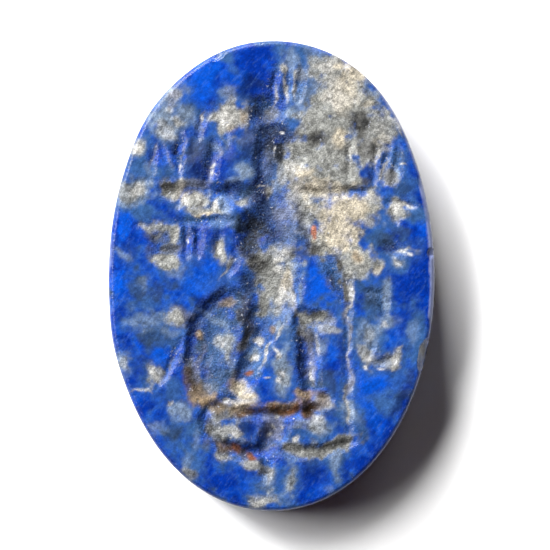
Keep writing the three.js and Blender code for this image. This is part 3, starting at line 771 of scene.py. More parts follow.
            (-2.35, 2.95, 0.1, 0.22), (5.55, 2.95, 0.35, 0.1), (5.25, 2.7, 0.2, 0.25), (4.1, 3.2, 0.3, 0.25),
            (4.1, 2.2, 0.3, 0.3, 0, 0.6), (-0.61, -2.92, 0.21, 0.19), (-0.83, -3.6, 0.15, 0.13),
            (0.23, -4.49, 0.13, 0.15, 0, 0.8), (0.19, -1.23, 0.13, 0.38, -8, 0.7),
            (0.36, -3.35, 0.08, 0.13, 0, 0.8), (-0.19, -3.3, 0.08, 0.59, -30, 0.8),
            (0.32, -2.5, 0.07, 0.34, -20, 0.7), (-1.93, 6.65, 0.25, 0.42), (0.83, 4.58, 0.21, 0.3, 0, 0.7),
            (0.4, 0.59, 0.13, 0.13), (0.36, 0.17, 0.17, 0.17, 0, 0.7), (0.49, -0.59, 0.17, 0.34, 0, 0.7),
            (-3.96, 7.63, 0.21, 0.34, 20, 0.5), (-3.96, 6.52, 0.21, 0.17, 0, 0.8),
            (-4.51, 6.27, 0.25, 0.21, 0, 0.5), (-4.09, 1.86, 0.09, 0.38, -15, 0.8),
            (-4.72, 0.81, 0.17, 0.13, 0, 0.5), (-5.66, 3.6, 0.3, 0.17, 0, 0.7), (-3.67, 3.94, 0.13, 0.17),
            (-2.14, 1.23, 0.13, 0.25, 0, 0.7), (-1.97, 0.13, 0.05, 0.3, -30, 0.7),
            (1.08, 4.41, 0.34, 0.34, 0, 0.7), (-0.06, 3.64, 0.13, 0.3, -30, 0.8),
            (0.49, 0.89, 0.25, 0.21, 0, 0.6), (0.87, -1.02, 0.11, 0.59, 8, 0.6),
            (0.4, -1.02, 0.15, 0.42, 0, 0.6), (1.63, 2.97, 0.13, 0.34, 10, 0.5),
            (1.72, -4.07, 0.17, 0.51, 0, 0.6), (1.93, -2.92, 0.08, 0.38, 0, 0.6),
            (0.66, 8.14, 0.08, 0.68, -4, 0.8), (0.11, 7.67, 0.08, 0.38, -4, 0.7),
            (1.08, 8.14, 0.08, 0.59, -4, 0.7), (0.66, 8.77, 0.1, 0.17), (-2.22, -2.8, 0.25, 0.21, 0, 0.5),
            (3.3, 5.21, 0.06, 0.55, 0, 0.8), (3.54, 5.42, 0.05, 0.38, 0, 0.7),
            (4.43, 5.04, 0.06, 0.55, 4, 0.8), (4.68, 4.49, 0.07, 0.51, -24, 0.8),
            (4.68, 5.42, 0.21, 0.13, 0, 0.6), (5.66, 4.7, 0.14, 0.05, 0, 0.9),
            (5.36, 6.31, 0.05, 0.38, 24, 0.9), (-5.02, -4.15, 0.13, 0.34, 0, 0.6),
            (-3.96, -1.61, 0.3, 0.14, 8, 0.5), (-4.3, -5.47, 0.07, 0.13, 0, 0.7),
            (-5.49, -4.83, 0.3, 0.05, 5, 0.6), (-1.42, -6.61, 0.25, 0.21, 0, 0.9), (1.0, -6.91, 0.08, 0.13),
            (0.02, -6.44, 0.3, 0.47, -15, 0.55), (4.22, -3.47, 0.13, 0.13), (4.05, -3.86, 0.13, 0.1),
            (5.06, -3.81, 0.14, 0.13), (5.36, -3.14, 0.13, 0.1, 0, 0.8), (5.15, -3.43, 0.13, 0.13, 0, 0.8),
            (-1.93, -7.67, 0.13, 0.17, 0, 0.6), (-0.83, -7.8, 0.17, 0.13, 0, 0.6),
            (-0.57, -9.49, 0.25, 0.21, 0, 0.6), (5.61, 1.06, 0.38, 0.07, 18, 0.8),
            (5.23, 0.59, 0.1, 0.13, 0, 0.7), (3.26, -1.02, 0.06, 1.02, 0, 0.8),
            (3.22, -3.14, 0.06, 1.1, 0, 0.8), (3.16, -5.68, 0.06, 1.1, 0, 0.8),
            (2.05, -6.1, 0.25, 0.13, 0, 0.4), (-0.23, -8.39, 0.1, 0.34, -6, 0.6),
            (3.75, 0.51, 0.25, 0.17, 0, 0.6), (4.81, -1.95, 0.17, 0.13, 0, 0.6),
            (-1.84, -6.48, 0.38, 0.17, 0, 0.4), (1.21, -7.33, 0.51, 0.08, 2, 0.4),
            (3.41, 7.63, 0.25, 0.21, 0, 0.5), (4.6, 6.27, 0.21, 0.17, 0, 0.4),
            (-1.63, 6.61, 0.59, 0.51, 0, 0.7), (-4.26, 6.95, 0.17, 0.17, 0, 0.7),
            (-4.47, 5.93, 0.25, 0.17, 0, 0.6), (1.12, 4.15, 0.34, 0.42, 0, 0.4),
            (3.2, -4.53, 0.13, 0.64, 0, 0.6), (-0.02, -6.52, 0.17, 0.42, -20, 0.5),
        ), halo=True),
        # Painted sheen: pale lavender where the cuts' walls face the lamps, the blue stone's sheen laid on as
        # colour.
        Deposit(Mineral.PAINTED_SHEEN, 0.6, patches(
            (-4.97, 5.1, 0.08, 0.5, -7, 0.8), (-4.43, 5.05, 0.05, 0.5, 24, 0.8),
            (-3.83, 5.2, 0.06, 0.85, -3, 0.8), (-2.52, 4.6, 0.11, 0.85, -17, 0.8),
            (-2.9, 6.5, 0.08, 0.5, -24, 0.8), (-3.45, 1.5, 0.05, 0.6, 4, 0.7), (-2.9, 1.5, 0.09, 0.5, 0, 0.5),
            (3.22, -2.4, 0.08, 1.0, 2, 0.8), (3.2, -4.3, 0.08, 0.9, 0, 0.9),
            (-4.2, -3.6, 0.05, 0.6, -18, 0.85), (1.5, -3.73, 0.19, 0.68, 0, 0.8),
            (-3.03, -3.64, 0.13, 0.59, 15, 0.6), (-3.03, -3.64, 0.13, 0.76, -8, 0.7),
            (-2.61, -4.07, 0.11, 0.59, -4, 0.5), (0.02, -6.44, 0.38, 0.51, -15, 0.7),
            (-0.06, -7.37, 0.42, 0.1, 0, 0.6), (0.61, 2.63, 0.55, 1.19, 0, 0.45),
            (-0.15, 4.91, 0.25, 0.85, 0, 0.3), (-0.91, 5.76, 0.34, 0.34, 0, 0.35),
            (-1.84, 5.34, 0.34, 0.51, 0, 0.25), (-3.24, 5.25, 0.34, 0.51, 0, 0.3),
            (-4.0, 7.58, 0.25, 0.47, -20, 0.6), (-1.67, 7.8, 0.25, 0.34, 0, 0.45),
            (0.06, -6.4, 0.34, 0.64, -20, 0.9),
        )),
        Deposit(Mineral.CREAM, 0.5, patches(
            (2.9, 6.0, 0.35, 0.35), (1.3, 4.3, 0.38, 0.27), (2.3, 3.8, 0.7, 0.2, 0, 0.6),
            (3.25, 2.75, 0.95, 0.75), (-2.65, 2.5, 0.42, 0.08, -3), (-1.05, -5.1, 0.32, 0.12),
            (-1.29, -4.79, 0.36, 0.3), (0.7, -0.38, 0.25, 0.34, 0, 0.7), (2.69, 2.03, 0.76, 0.93),
            (2.27, 2.71, 0.42, 0.42, 0, 0.8), (1.97, 3.73, 0.59, 0.25, 0, 0.6),
            (2.9, 3.01, 0.59, 0.59, 0, 0.7), (3.11, 1.74, 0.51, 0.59, 0, 0.7),
            (2.05, 3.39, 0.47, 0.21, 0, 0.6), (0.66, -0.21, 0.21, 0.25, 0, 0.6),
            (3.54, 8.73, 0.59, 0.51, 0, 0.9), (3.33, 8.14, 0.34, 0.38, 0, 0.5),
            (4.0, 7.29, 0.25, 0.21, 0, 0.5), (4.6, 5.76, 0.34, 0.21, 0, 0.3),
            (-1.08, -5.34, 0.51, 0.21, 0, 0.6), (3.62, 0.72, 0.25, 0.21, 0, 0.8),
            (4.43, 0.3, 0.25, 0.21, 0, 0.6), (3.11, 7.8, 0.64, 0.72, 0, 0.45),
        ), halo=True),
        # Dark navy: mostly painted shade along the cuts' walls and in the trunk's hollow, with some of the
        # stone's own deep blue.
        Deposit(Mineral.NAVY_AND_SHADE, 0.6, patches(
            (-0.9, 8.1, 0.5, 0.45, 0, 0.7), (-4.12, 5.3, 0.12, 0.6, 5, 0.8), (5.4, -5.5, 0.2, 0.6, -30, 0.7),
            (-3.0, 4.5, 0.14, 0.7, 0, 0.7), (-3.25, 1.5, 0.1, 0.7, 5, 0.7), (-3.75, 1.8, 0.1, 0.5, 0, 0.7),
            (-2.4, 1.5, 0.1, 0.4, 0, 0.6), (-3.37, -2.12, 0.21, 0.59, -25, 0.9),
            (-2.39, -0.89, 0.42, 0.21, 35, 0.9), (-3.62, -3.14, 0.17, 0.51, 0, 0.8),
            (1.17, -3.64, 0.17, 0.85, 0, 0.8), (-0.83, -2.08, 0.21, 0.59, 0, 0.5),
            (-1.21, -3.77, 0.17, 0.51, -10, 0.5), (-0.53, 4.41, 0.19, 0.72, 0, 0.85),
            (-1.76, 3.73, 0.51, 0.3, 0, 0.8), (-0.57, 3.09, 0.25, 0.42, 0, 0.7),
            (-0.28, 2.16, 0.25, 0.42, 0, 0.75), (0.06, 1.69, 0.3, 0.34, 0, 0.85),
            (-1.25, -0.25, 0.25, 0.34, 0, 0.7), (-0.91, 5.25, 0.25, 0.25, 0, 0.5),
            (-0.4, 3.01, 0.34, 0.59, 0, 0.6), (-0.23, 6.4, 0.85, 0.38, 0, 0.5),
            (-0.06, 1.53, 0.34, 0.34, 0, 0.5), (-0.7, 6.69, 0.34, 0.42, 0, 0.8),
            (0.15, 6.1, 0.72, 0.34, 0, 0.65), (-0.49, 3.64, 0.21, 0.59, 0, 0.8),
            (-0.91, 1.95, 0.38, 0.68, 0, 0.8), (-1.04, -1.02, 0.15, 0.93, -4, 0.6),
            (-0.4, 5.34, 0.21, 0.59, 0, 0.6), (-3.58, -1.78, 0.17, 0.59, 25, 0.7),
            (-3.03, -1.02, 0.17, 0.51, 45, 0.7), (4.13, 4.24, 0.13, 0.38, 0, 0.7),
            (-1.0, -6.4, 0.34, 0.25, 0, 0.6), (5.02, 1.1, 0.42, 0.21, 0, 0.8),
            (1.84, -8.22, 0.34, 0.38, 0, 0.4), (-0.4, -7.16, 0.21, 0.21, 0, 0.5),
            (1.21, -7.71, 0.68, 0.07, 0, 0.4), (-1.12, 1.31, 0.25, 0.42, 0, 0.5),
            (-3.24, 4.49, 0.17, 0.59, -10, 0.4), (-0.91, -1.44, 0.13, 0.68, -4, 0.5),
            (-0.91, 1.86, 0.51, 0.76, 0, 0.7), (0.15, 5.93, 0.51, 0.34, 0, 0.5),
            (-4.22, 5.34, 0.13, 0.59, 25, 0.6), (-3.54, 5.42, 0.13, 0.59, 0, 0.4),
            (-2.82, 4.91, 0.17, 0.68, -8, 0.5),
        )),
        Deposit(Mineral.TAN, 0.6, patches(
            (-3.0, -5.2, 0.5, 0.25), (1.5, -5.05, 0.5, 0.22, 0, 0.9), (-3.6, 3.5, 0.5, 0.3, 0, 0.3),
            (-1.84, -1.14, 0.38, 0.19, 15, 0.7), (-3.16, -2.46, 0.17, 0.17, 0, 0.9),
            (-0.06, -2.37, 0.15, 0.17, 0, 0.8), (-1.55, -4.62, 0.25, 0.25, 0, 0.7),
            (-3.24, -4.91, 0.34, 0.34, 0, 0.4), (-1.59, 6.1, 0.17, 0.21, 0, 0.4),
            (1.21, 3.86, 0.51, 0.34, 0, 0.25), (-3.03, -4.91, 0.42, 0.25, 0, 0.5),
            (-2.52, -5.17, 0.25, 0.25, 0, 0.5), (-1.0, -5.59, 0.59, 0.21, 0, 0.8),
            (0.49, -5.68, 0.76, 0.19, 3, 0.95), (1.46, -5.3, 0.3, 0.25, 0, 0.8),
            (2.14, -5.25, 0.3, 0.3, 0, 0.5), (-1.97, -7.12, 0.42, 0.17, -25, 0.8),
            (3.62, 0.72, 0.17, 0.13, 0, 0.7), (-2.39, -5.59, 0.34, 0.17, 0, 0.5),
            (-2.1, -5.42, 0.3, 0.17, 0, 0.5), (-1.29, 6.65, 0.13, 0.38, 0, 0.6),
        )),
        # Near-black in the deep hollows of the trunk and head: painted shade, with the dark soil there.
        Deposit(Mineral.SOOT_AND_SHADE, 0.7, patches(
            (-1.12, -1.23, 0.13, 0.68, 0, 0.6), (-1.21, -2.2, 0.11, 0.59, 0, 0.6),
            (-1.84, -4.91, 0.17, 0.17, 0, 0.6), (0.02, 5.76, 0.3, 0.42, 0, 0.45),
            (0.32, 5.25, 0.15, 0.42, 0, 0.85), (-0.91, 2.03, 0.38, 0.64, 0, 0.8),
            (-0.66, 1.36, 0.34, 0.34, 0, 0.65), (-0.28, 6.86, 0.42, 0.34, 0, 0.25),
            (-0.4, 6.19, 0.68, 0.3, 0, 0.3), (-0.83, 1.95, 0.55, 0.76, 0, 0.75),
            (0.02, 5.68, 0.55, 0.64, 0, 0.4), (-0.4, 6.95, 0.59, 0.38, 0, 0.3),
            (-0.49, 3.22, 0.25, 0.68, 0, 0.3), (-4.22, 1.23, 0.38, 0.07, 12, 0.7),
            (0.36, 5.13, 0.17, 0.38, 0, 0.85), (-0.15, 5.42, 0.21, 0.47, 0, 0.5),
            (3.54, 6.31, 0.21, 0.13, 0, 0.6), (4.09, 6.52, 0.17, 0.17, 0, 0.5),
            (1.67, -5.85, 0.19, 0.21, 0, 0.85), (-0.32, -8.3, 0.13, 0.13, 0, 0.7),
            (-0.83, 3.3, 0.17, 0.34, 0, 0.4), (-0.91, 1.82, 0.42, 0.64, 0, 0.55),
            (1.89, 5.89, 0.21, 0.13, 0, 0.5), (-0.91, 1.69, 0.34, 0.64, 0, 0.4),
            (0.06, 5.13, 0.25, 0.59, 0, 0.25),
        )),
        Deposit(Mineral.UMBER, 0.7, patches(
            (-3.58, -4.32, 0.17, 0.38, 0, 0.6), (-2.78, -4.62, 0.21, 0.25, 0, 0.4),
            (0.57, -5.76, 0.68, 0.15, 3, 0.8), (-0.74, -5.85, 0.51, 0.14, 0, 0.8),
            (1.59, -5.76, 0.28, 0.32, 0, 0.95), (-1.67, -7.25, 0.42, 0.13, -25, 0.7),
            (-0.91, -7.54, 0.25, 0.13, -25, 0.7), (2.05, -5.64, 0.21, 0.17, 0, 0.5),
            (-3.45, -4.75, 0.21, 0.25, 0, 0.4), (1.04, -5.59, 0.34, 0.17, 0, 0.5),
        )),
        Deposit(Mineral.RUST, 0.8, patches(
            (-0.87, -4.19, 0.11, 0.08), (-1.5, -7.29, 0.19, 0.13, -20, 0.9),
            (-0.91, -7.54, 0.15, 0.11, 0, 0.9), (0.7, -5.68, 0.42, 0.08, 3, 0.6),
        )),
        Deposit(Mineral.ROSE, 0.25, patches((1.86, 1.91, 0.24, 0.28, 8))),
        # Painted highlights: small white glints put where the polish catches the lamps.
        Deposit(Mineral.PAINTED_GLINT, 0.6, patches(
            (0.36, -3.26, 0.07, 0.13), (0.49, -4.15, 0.07, 0.1), (1.63, -4.19, 0.08, 0.14),
            (-2.48, 4.7, 0.08, 0.07), (-2.52, 4.36, 0.08, 0.13), (-3.83, 4.49, 0.07, 0.13),
            (-2.82, 6.61, 0.05, 0.13), (-1.84, -5.34, 0.14, 0.07, 20), (5.83, 0.93, 0.08, 0.04),
            (-3.62, 1.53, 0.03, 0.21), (3.33, -0.59, 0.03, 0.34), (0.15, 5.25, 0.03, 0.21, -8),
            (0.4, 6.14, 0.04, 0.04), (-0.4, 3.73, 0.03, 0.21, -35), (-0.61, -2.92, 0.14, 0.16),
            (-0.78, -3.6, 0.1, 0.12), (-2.22, -2.71, 0.06, 0.06), (-2.1, -2.97, 0.06, 0.07),
            (-0.23, -4.36, 0.1, 0.07), (0.32, -4.49, 0.07, 0.08), (-1.84, -5.25, 0.13, 0.08, 20),
            (4.17, -3.47, 0.1, 0.1), (4.09, -3.81, 0.08, 0.07), (4.64, -3.9, 0.07, 0.06),
            (5.15, -3.56, 0.1, 0.12), (5.06, -3.94, 0.07, 0.07), (1.08, -6.91, 0.09, 0.11),
            (-1.55, -6.61, 0.1, 0.09), (-1.67, -6.86, 0.07, 0.06), (-0.15, -6.74, 0.08, 0.1),
            (0.02, -6.4, 0.07, 0.09), (0.28, -6.02, 0.08, 0.08), (0.4, -6.44, 0.06, 0.08),
            (1.63, -4.28, 0.08, 0.12), (1.59, -3.81, 0.06, 0.08),
        )),
    )

    def paint(self, face: FaceMap) -> np.ndarray:
        """Paints the stone's colours, with the painted glints, sheen and shade.

        Args:
            face: the map of the face.

        Returns:
            The colours over the face, as red, green and blue light values.
        """
        x = face.x + self.SWAY * (face.clouds(0.7, 5, Seed.PATCH_ACROSS) - 0.5)
        y = face.y + self.SWAY * (face.clouds(0.7, 5, Seed.PATCH_ALONG) - 0.5)
        ragged = self.RAGGED * (face.clouds(0.35, 5, Seed.PATCH_EDGE) - 0.5)
        cloudiness = 0.65 * face.clouds(0.9, 5, Seed.MOTTLE) + 0.35 * face.clouds(0.26, 4, Seed.FLECK)
        colour = body_colour(Mineral.DEEP) + np.zeros((3, *face.x.shape))
        for mineral, low, high in self.mottling:
            share = self.TURNED * ramp(cloudiness, low, high - low)
            colour += share * (body_colour(mineral) - colour)
        for deposit in self.with_halo():
            colour += deposit.cover(face, x, y, ragged) * (body_colour(deposit.mineral) - colour)
        return colour * self.grain(face, colour)

    def with_halo(self) -> tuple[Deposit, ...]:
        """Returns the deposits with the milky halo put in under the first pale one."""
        first_pale = [deposit.halo for deposit in self.deposits].index(True)
        milky = tuple(patch.halo() for deposit in self.deposits for patch in deposit.patches if deposit.halo)
        halo = Deposit(Mineral.HAZE, self.HALO_SOFTNESS, milky)
        return (*self.deposits[:first_pale], halo, *self.deposits[first_pale:])

    def grain(self, face: FaceMap, colour: np.ndarray) -> np.ndarray:
        """Works out how much lighter or darker each grain is, which is most in the calcite.

        Args:
            face: the map of the face.
            colour: the stone's colours without their grain.

        Returns:
            What to multiply the colours by.
        """
        calcite = ramp(colour[0] / colour[2], 0.1, 0.5)
        coarse = face.clouds(0.5, 5, Seed.COARSE_GRAIN) - 0.5
        fine = face.clouds(0.12, 2, Seed.FINE_GRAIN) - 0.5
        return np.clip(1 + (0.55 + 0.65 * calcite) * (0.9 * coarse + fine), 0.25, 1.8)


def body_colour(mineral: Mineral) -> np.ndarray:
    """Returns a mineral's own colour, from its colour on screen in full light."""
    return np.array(linear(*mineral.value)[:3])[:, None, None] / FULL_LIGHT


# The outline and the blank


@dataclass(frozen=True)
class Fuller:
    """A bearing at which the hand-ground outline stands out, in degrees, by how much and how widely."""

    bearing: float
    by: float
    spread: float


@dataclass(frozen=True)
class Oval:
    """The stone's outline, a little squarer than an ellipse. Millimetres."""

    half_width: float
    half_length: float
    squareness: float = 2.06
    fuller: tuple[Fuller, ...] = (Fuller(62, 0.018, 17), Fuller(128, 0.012, 11), Fuller(203, 0.01, 12))

    def reach(self, angle: np.ndarray, inset: float) -> np.ndarray:
        """Works out how far the outline is from the middle.

        Args:
            angle: the bearings, in radians.
            inset: how far the outline is drawn in from the girdle.

        Returns:
            The distances, in millimetres.
        """
        across = np.abs(np.cos(angle) / (self.half_width - inset)) ** self.squareness
        along = np.abs(np.sin(angle) / (self.half_length - inset)) ** self.squareness
        reach = (across + along) ** (-1 / self.squareness)
        bearing = np.degrees(angle) % 360
        for full in self.fuller:
            reach = reach * (1 + full.by * np.exp(-(((bearing - full.bearing) / full.spread) ** 2)))
        return reach

    def inward(self, x: np.ndarray, y: np.ndarray) -> np.ndarray:
        """Returns how far in from the outline places are, in millimetres."""
        return self.reach(np.arctan2(y, x), 0) - np.hypot(x, y)


@dataclass(frozen=True)
class Chip:
    """An old chip: its bearing in degrees, its length along the rim, its depth and its reach inward."""

    bearing: float
    along: float
    depth: float
    inward: float = 0.35


@dataclass(frozen=True)
class ScuffAndSheen:
    """A stretch of the rim with a pale band, partly real scuffing and partly painted sheen: its bearing and
    half its span in degrees, its width, its strength.
    """

    bearing: float
    spread: float
    width: float
    strength: float = 0.8


# Nodes


class Bench:
    """Adds nodes to one tree and joins them."""

    def __init__(self, tree: bpy.types.NodeTree) -> None:
        """Takes the tree to work in."""
        self.tree = tree

    def add(self, kind: str, **settings: object) -> bpy.types.Node:
        """Adds a node.

        Args:
            kind: the node's type.
            settings: its properties by name.

        Returns:
            The node.
        """
        node = self.tree.nodes.new(kind)
        for name, value in settings.items():
            setattr(node, name, value)
        return node

    def feed(self, socket: bpy.types.NodeSocket, value: object) -> None:
        """Joins a socket to another one, or sets its plain value."""
        if isinstance(value, bpy.types.NodeSocket):
            self.tree.links.new(value, socket)
        else:
            socket.default_value = value

    def sum(
        self, operation: str, first: object, second: object = 0.0, third: object = 0.0
    ) -> bpy.types.NodeSocket:
        """Does arithmetic.

        Args:
            operation: the name of the operation, such as ADD.
            first: the first number.
            second: the second number.
            third: the third number, where the operation takes one.

        Returns:
            The result.
        """
        node = self.add("ShaderNodeMath", operation=operation)
        for socket, value in zip(node.inputs, (first, second, third)):
            self.feed(socket, value)
        return node.outputs[0]

    def band(
        self, value: object, low: float, high: float, to_low: float = 0.0, to_high: float = 1.0
    ) -> bpy.types.NodeSocket:
        """Turns one range smoothly into another.

        Args:
            value: the number to turn.
            low: where the range starts.
            high: where it stops.
            to_low: what its start becomes.
            to_high: what its stop becomes.

        Returns:
            The number in its new range.
        """
        node = self.add("ShaderNodeMapRange", interpolation_type="SMOOTHSTEP")
        for socket, part in zip(node.inputs, (value, low, high, to_low, to_high)):
            self.feed(socket, part)
        return node.outputs[0]

    def blend(
        self, share: object, first: object, second: object, how: str = "MIX"
    ) -> bpy.types.NodeSocket:
        """Blends two colours.

        Args:
            share: how much of the second there is.
            first: the first colour.
            second: the second colour.
            how: the way they blend.

        Returns:
            The blend.
        """
        node = self.add("ShaderNodeMix", data_type="RGBA", blend_type=how, clamp_factor=True)
        self.feed(node.inputs["Factor"], share)
        colours = [socket for socket in node.inputs if socket.type == "RGBA"]
        self.feed(colours[0], first)
        self.feed(colours[1], second)
        return next(socket for socket in node.outputs if socket.type == "RGBA")

    def noise(self, place: object, scale: float, detail: float, rough: float) -> bpy.types.NodeSocket:
        """Makes noise.

        Args:
            place: the coordinates, in millimetres.
            scale: how many clouds there are in a millimetre.
            detail: how many finer layers it has.
            rough: how strong those are.

        Returns:
            A number round a half.
        """
        node = self.add("ShaderNodeTexNoise")
        self.feed(node.inputs["Vector"], place)
        node.inputs["Scale"].default_value = scale
        node.inputs["Detail"].default_value = detail
        node.inputs["Roughness"].default_value = rough
        return node.outputs["Fac"]


@dataclass(frozen=True)
class LapisFinish:
    """Lapis lazuli with a worn polish, with painted sparkles of highlight and a rim band that is partly
    painted sheen. The face's colours are painted, and the rest is worked out here.
    """

    ultramarine: Tint = linear(6, 30, 100)
    cloudy: Tint = linear(34, 60, 100)
    matrix: Tint = linear(92, 88, 80)
    milk: Tint = linear(56, 88, 142)
    dusk: Tint = linear(6, 14, 38)
    grit: Tint = linear(44, 46, 48)
    frost: Tint = linear(64, 84, 112)
    # The colour of the painted sparkles of highlight.
    painted_glint_colour: Tint = linear(128, 130, 138)
    # The rim's pale band: partly real scuffing, partly painted sheen along the polished edge.
    scuff_and_sheen: Tint = linear(104, 112, 144)
    ior: float = 1.5
    sheen: float = 0.3
    sheen_lost_in_cuts: float = 0.18
    wisp_bearing: float = 38.0
    wisp_stretch: float = 3.0
    relief: float = 0.05

    def material(self) -> bpy.types.Material:
        """Builds the material.

        Returns:
            The finish, ready to put on the stone.
        """
        material = bpy.data.materials.new("lapis_worn_polish")
        material.use_nodes = True
        tree = material.node_tree
        tree.nodes.clear()
        bench = Bench(tree)
        place = self.place(bench)
        minerals_and_painted_light = bench.add("ShaderNodeAttribute", attribute_name="minerals_and_painted_light")
        wear = bench.add("ShaderNodeAttribute", attribute_name="wear")
        parts = bench.add("ShaderNodeSeparateColor")
        bench.feed(parts.inputs[0], wear.outputs["Color"])
        chalky, dull, rim = parts.outputs[0], parts.outputs[1], parts.outputs[2]
        ground = wear.outputs["Alpha"]
        wild = self.unpainted(bench, place)
        # The face's colour layer carries painted glints, sheen and shade as well as the stone's own mineral
        # colours.
        stone = bench.blend(minerals_and_painted_light.outputs["Alpha"], wild, minerals_and_painted_light.outputs["Color"])
        stone = self.grained(bench, place, stone, chalky, ground)
        # The rim's pale band, partly scuffing and partly painted sheen, is laid over the stone.
        stone = bench.blend(rim, stone, self.scuff_and_sheen)
        shader = bench.add("ShaderNodeBsdfPrincipled")
        bench.feed(shader.inputs["Base Color"], stone)
        bench.feed(shader.inputs["Roughness"], self.roughness(bench, place, chalky, dull, ground))
        bench.feed(shader.inputs["Normal"], self.normal(bench, place, chalky, ground))
        shader.inputs["IOR"].default_value = self.ior
        sheen = bench.sum("MULTIPLY_ADD", ground, -self.sheen_lost_in_cuts, self.sheen)
        bench.feed(shader.inputs["Specular IOR Level"], sheen)
        output = bench.add("ShaderNodeOutputMaterial")
        bench.feed(output.inputs["Surface"], shader.outputs[0])
        return material

    def place(self, bench: Bench) -> bpy.types.NodeSocket:
        """Returns the place on the stone in millimetres."""
        where = bench.add("ShaderNodeTexCoord")
        scaled = bench.add("ShaderNodeMapping")
        scaled.inputs["Scale"].default_value = (1 / MM, 1 / MM, 1 / MM)
        bench.feed(scaled.inputs["Vector"], where.outputs["Object"])
        return scaled.outputs["Vector"]

    def unpainted(self, bench: Bench, place: object) -> bpy.types.NodeSocket:
        """Returns the plainer colour of the wall and the back.

        Args:
            bench: the material's bench.
            place: the place on the stone.

        Returns:
            Ultramarine with clouds of milky blue, in a dull grey-brown matrix.
        """
        cloud = bench.noise(place, 0.9, 5.0, 0.62)
        blue = bench.blend(bench.band(cloud, 0.44, 0.62), self.ultramarine, self.cloudy)
        vein = bench.noise(place, 0.5, 6.0, 0.66)
        return bench.blend(bench.band(vein, 0.53, 0.62), blue, self.matrix)

    def grained(
        self, bench: Bench, place: object, stone: object, chalky: object, ground: object
    ) -> bpy.types.NodeSocket:
        """Breaks the colour up into fine grains and specks, and paints sparkles of highlight on the calcite
        and in the cuts.

        Args:
            bench: the material's bench.
            place: the place on the stone.
            stone: the colour.
            chalky: how far it is calcite, whose grains are grey where the blue's are milky or dark.
            ground: 1 in the cuts, which are frosted and more grainy, and get more painted sparkles of
                highlight.

        Returns:
            The colour with its grain.
        """
        fine = bench.noise(place, 10.0, 3.0, 0.7)
        blue = bench.sum("SUBTRACT", 1.0, chalky)
        lengthways = bench.add("ShaderNodeMapping", vector_type="TEXTURE")
        lengthways.inputs["Rotation"].default_value = (0, 0, -math.radians(self.wisp_bearing))
        lengthways.inputs["Scale"].default_value = (1, self.wisp_stretch, 1)
        bench.feed(lengthways.inputs["Vector"], place)
        wisps = bench.noise(lengthways.outputs["Vector"], 6.0, 4.0, 0.7)
        milky = bench.sum("MULTIPLY", bench.band(wisps, 0.5, 0.74, to_high=0.3), blue)
        stone = bench.blend(milky, stone, self.milk)
        dusky = bench.sum("MULTIPLY", bench.band(fine, 0.52, 0.72, to_high=0.42), blue)
        stone = bench.blend(dusky, stone, self.dusk)
        gritty = bench.sum("MULTIPLY", bench.band(fine, 0.54, 0.72, to_high=0.35), chalky)
        stone = bench.blend(gritty, stone, self.grit)
        frosty = bench.sum("MULTIPLY", bench.band(fine, 0.4, 0.66, to_high=0.24), ground)
        stone = bench.blend(bench.sum("MULTIPLY", frosty, blue), stone, self.frost)
        # Painted highlight: pale sparkles in clusters, laid on the calcite and in the cuts where the polish
        # would glint.
        calcite_and_cuts = bench.sum("MAXIMUM", chalky, ground)
        clusters = bench.band(bench.noise(place, 1.6, 3.0, 0.6), 0.47, 0.62)
        painted_sparkles = bench.band(bench.noise(place, 7.5, 2.0, 0.6), 0.61, 0.7, to_high=0.7)
        painted_sparkles = bench.sum("MULTIPLY", painted_sparkles, clusters)
        stone = bench.blend(bench.sum("MULTIPLY", painted_sparkles, calcite_and_cuts), stone, self.painted_glint_colour)
        fibres = bench.band(bench.noise(lengthways.outputs["Vector"], 11.0, 2.0, 0.6), 0.3, 0.7, 0.78, 1.24)
        grains = bench.band(bench.noise(place, 20.0, 1.0, 0.6), 0.3, 0.7, 0.6, 1.42)
        value = bench.sum("MULTIPLY", fibres, grains)
        grey = bench.add("ShaderNodeCombineColor")
        for socket in grey.inputs:
            bench.feed(socket, value)
        strength = bench.sum("MULTIPLY_ADD", calcite_and_cuts, 0.5, 0.42)
        return bench.blend(strength, stone, grey.outputs[0], "MULTIPLY")

    def roughness(
        self, bench: Bench, place: object, chalky: object, dull: object, ground: object
    ) -> bpy.types.NodeSocket:
        """Builds the surface's roughness.

        Args:
            bench: the material's bench.
            place: the place on the stone.
            chalky: how far the stone is calcite.
            dull: 1 where soil lies, and on the wall and the back.
            ground: 1 in the cuts, which were never polished.

        Returns:
            The roughness.
        """
        grain = bench.band(bench.noise(place, 6.0, 3.0, 0.6), 0.3, 0.7, 0.1, 0.17)
        rough = bench.sum("MULTIPLY_ADD", chalky, 0.1, grain)
        rough = bench.sum("MULTIPLY_ADD", ground, 0.34, rough)
        return bench.sum("MULTIPLY_ADD", dull, 0.3, rough)

    def normal(self, bench: Bench, place: object, chalky: object, ground: object) -> bpy.types.NodeSocket:
        """Builds the fine relief that is left in a worn polish.

        Args:
            bench: the material's bench.
            place: the place on the stone.
            chalky: how far the stone is calcite, which wears to a sugary grain.
            ground: 1 in the cuts, which the wheel left rough.

        Returns:
            The surface's direction.
        """
        sugar = bench.noise(place, 12.0, 2.0, 0.6)
        pits = bench.noise(place, 4.5, 3.0, 0.6)
        height = bench.sum("MULTIPLY_ADD", pits, 1.6, sugar)
        rough = bench.sum("MULTIPLY_ADD", chalky, 0.15, 0.12)
        strength = bench.sum("MULTIPLY_ADD", ground, 0.5, rough)
        bump = bench.add("ShaderNodeBump")
        bump.inputs["Distance"].default_value = self.relief * MM
        bench.feed(bump.inputs["Strength"], strength)
        bench.feed(bump.inputs["Height"], height)
        return bump.outputs["Normal"]


# The gem


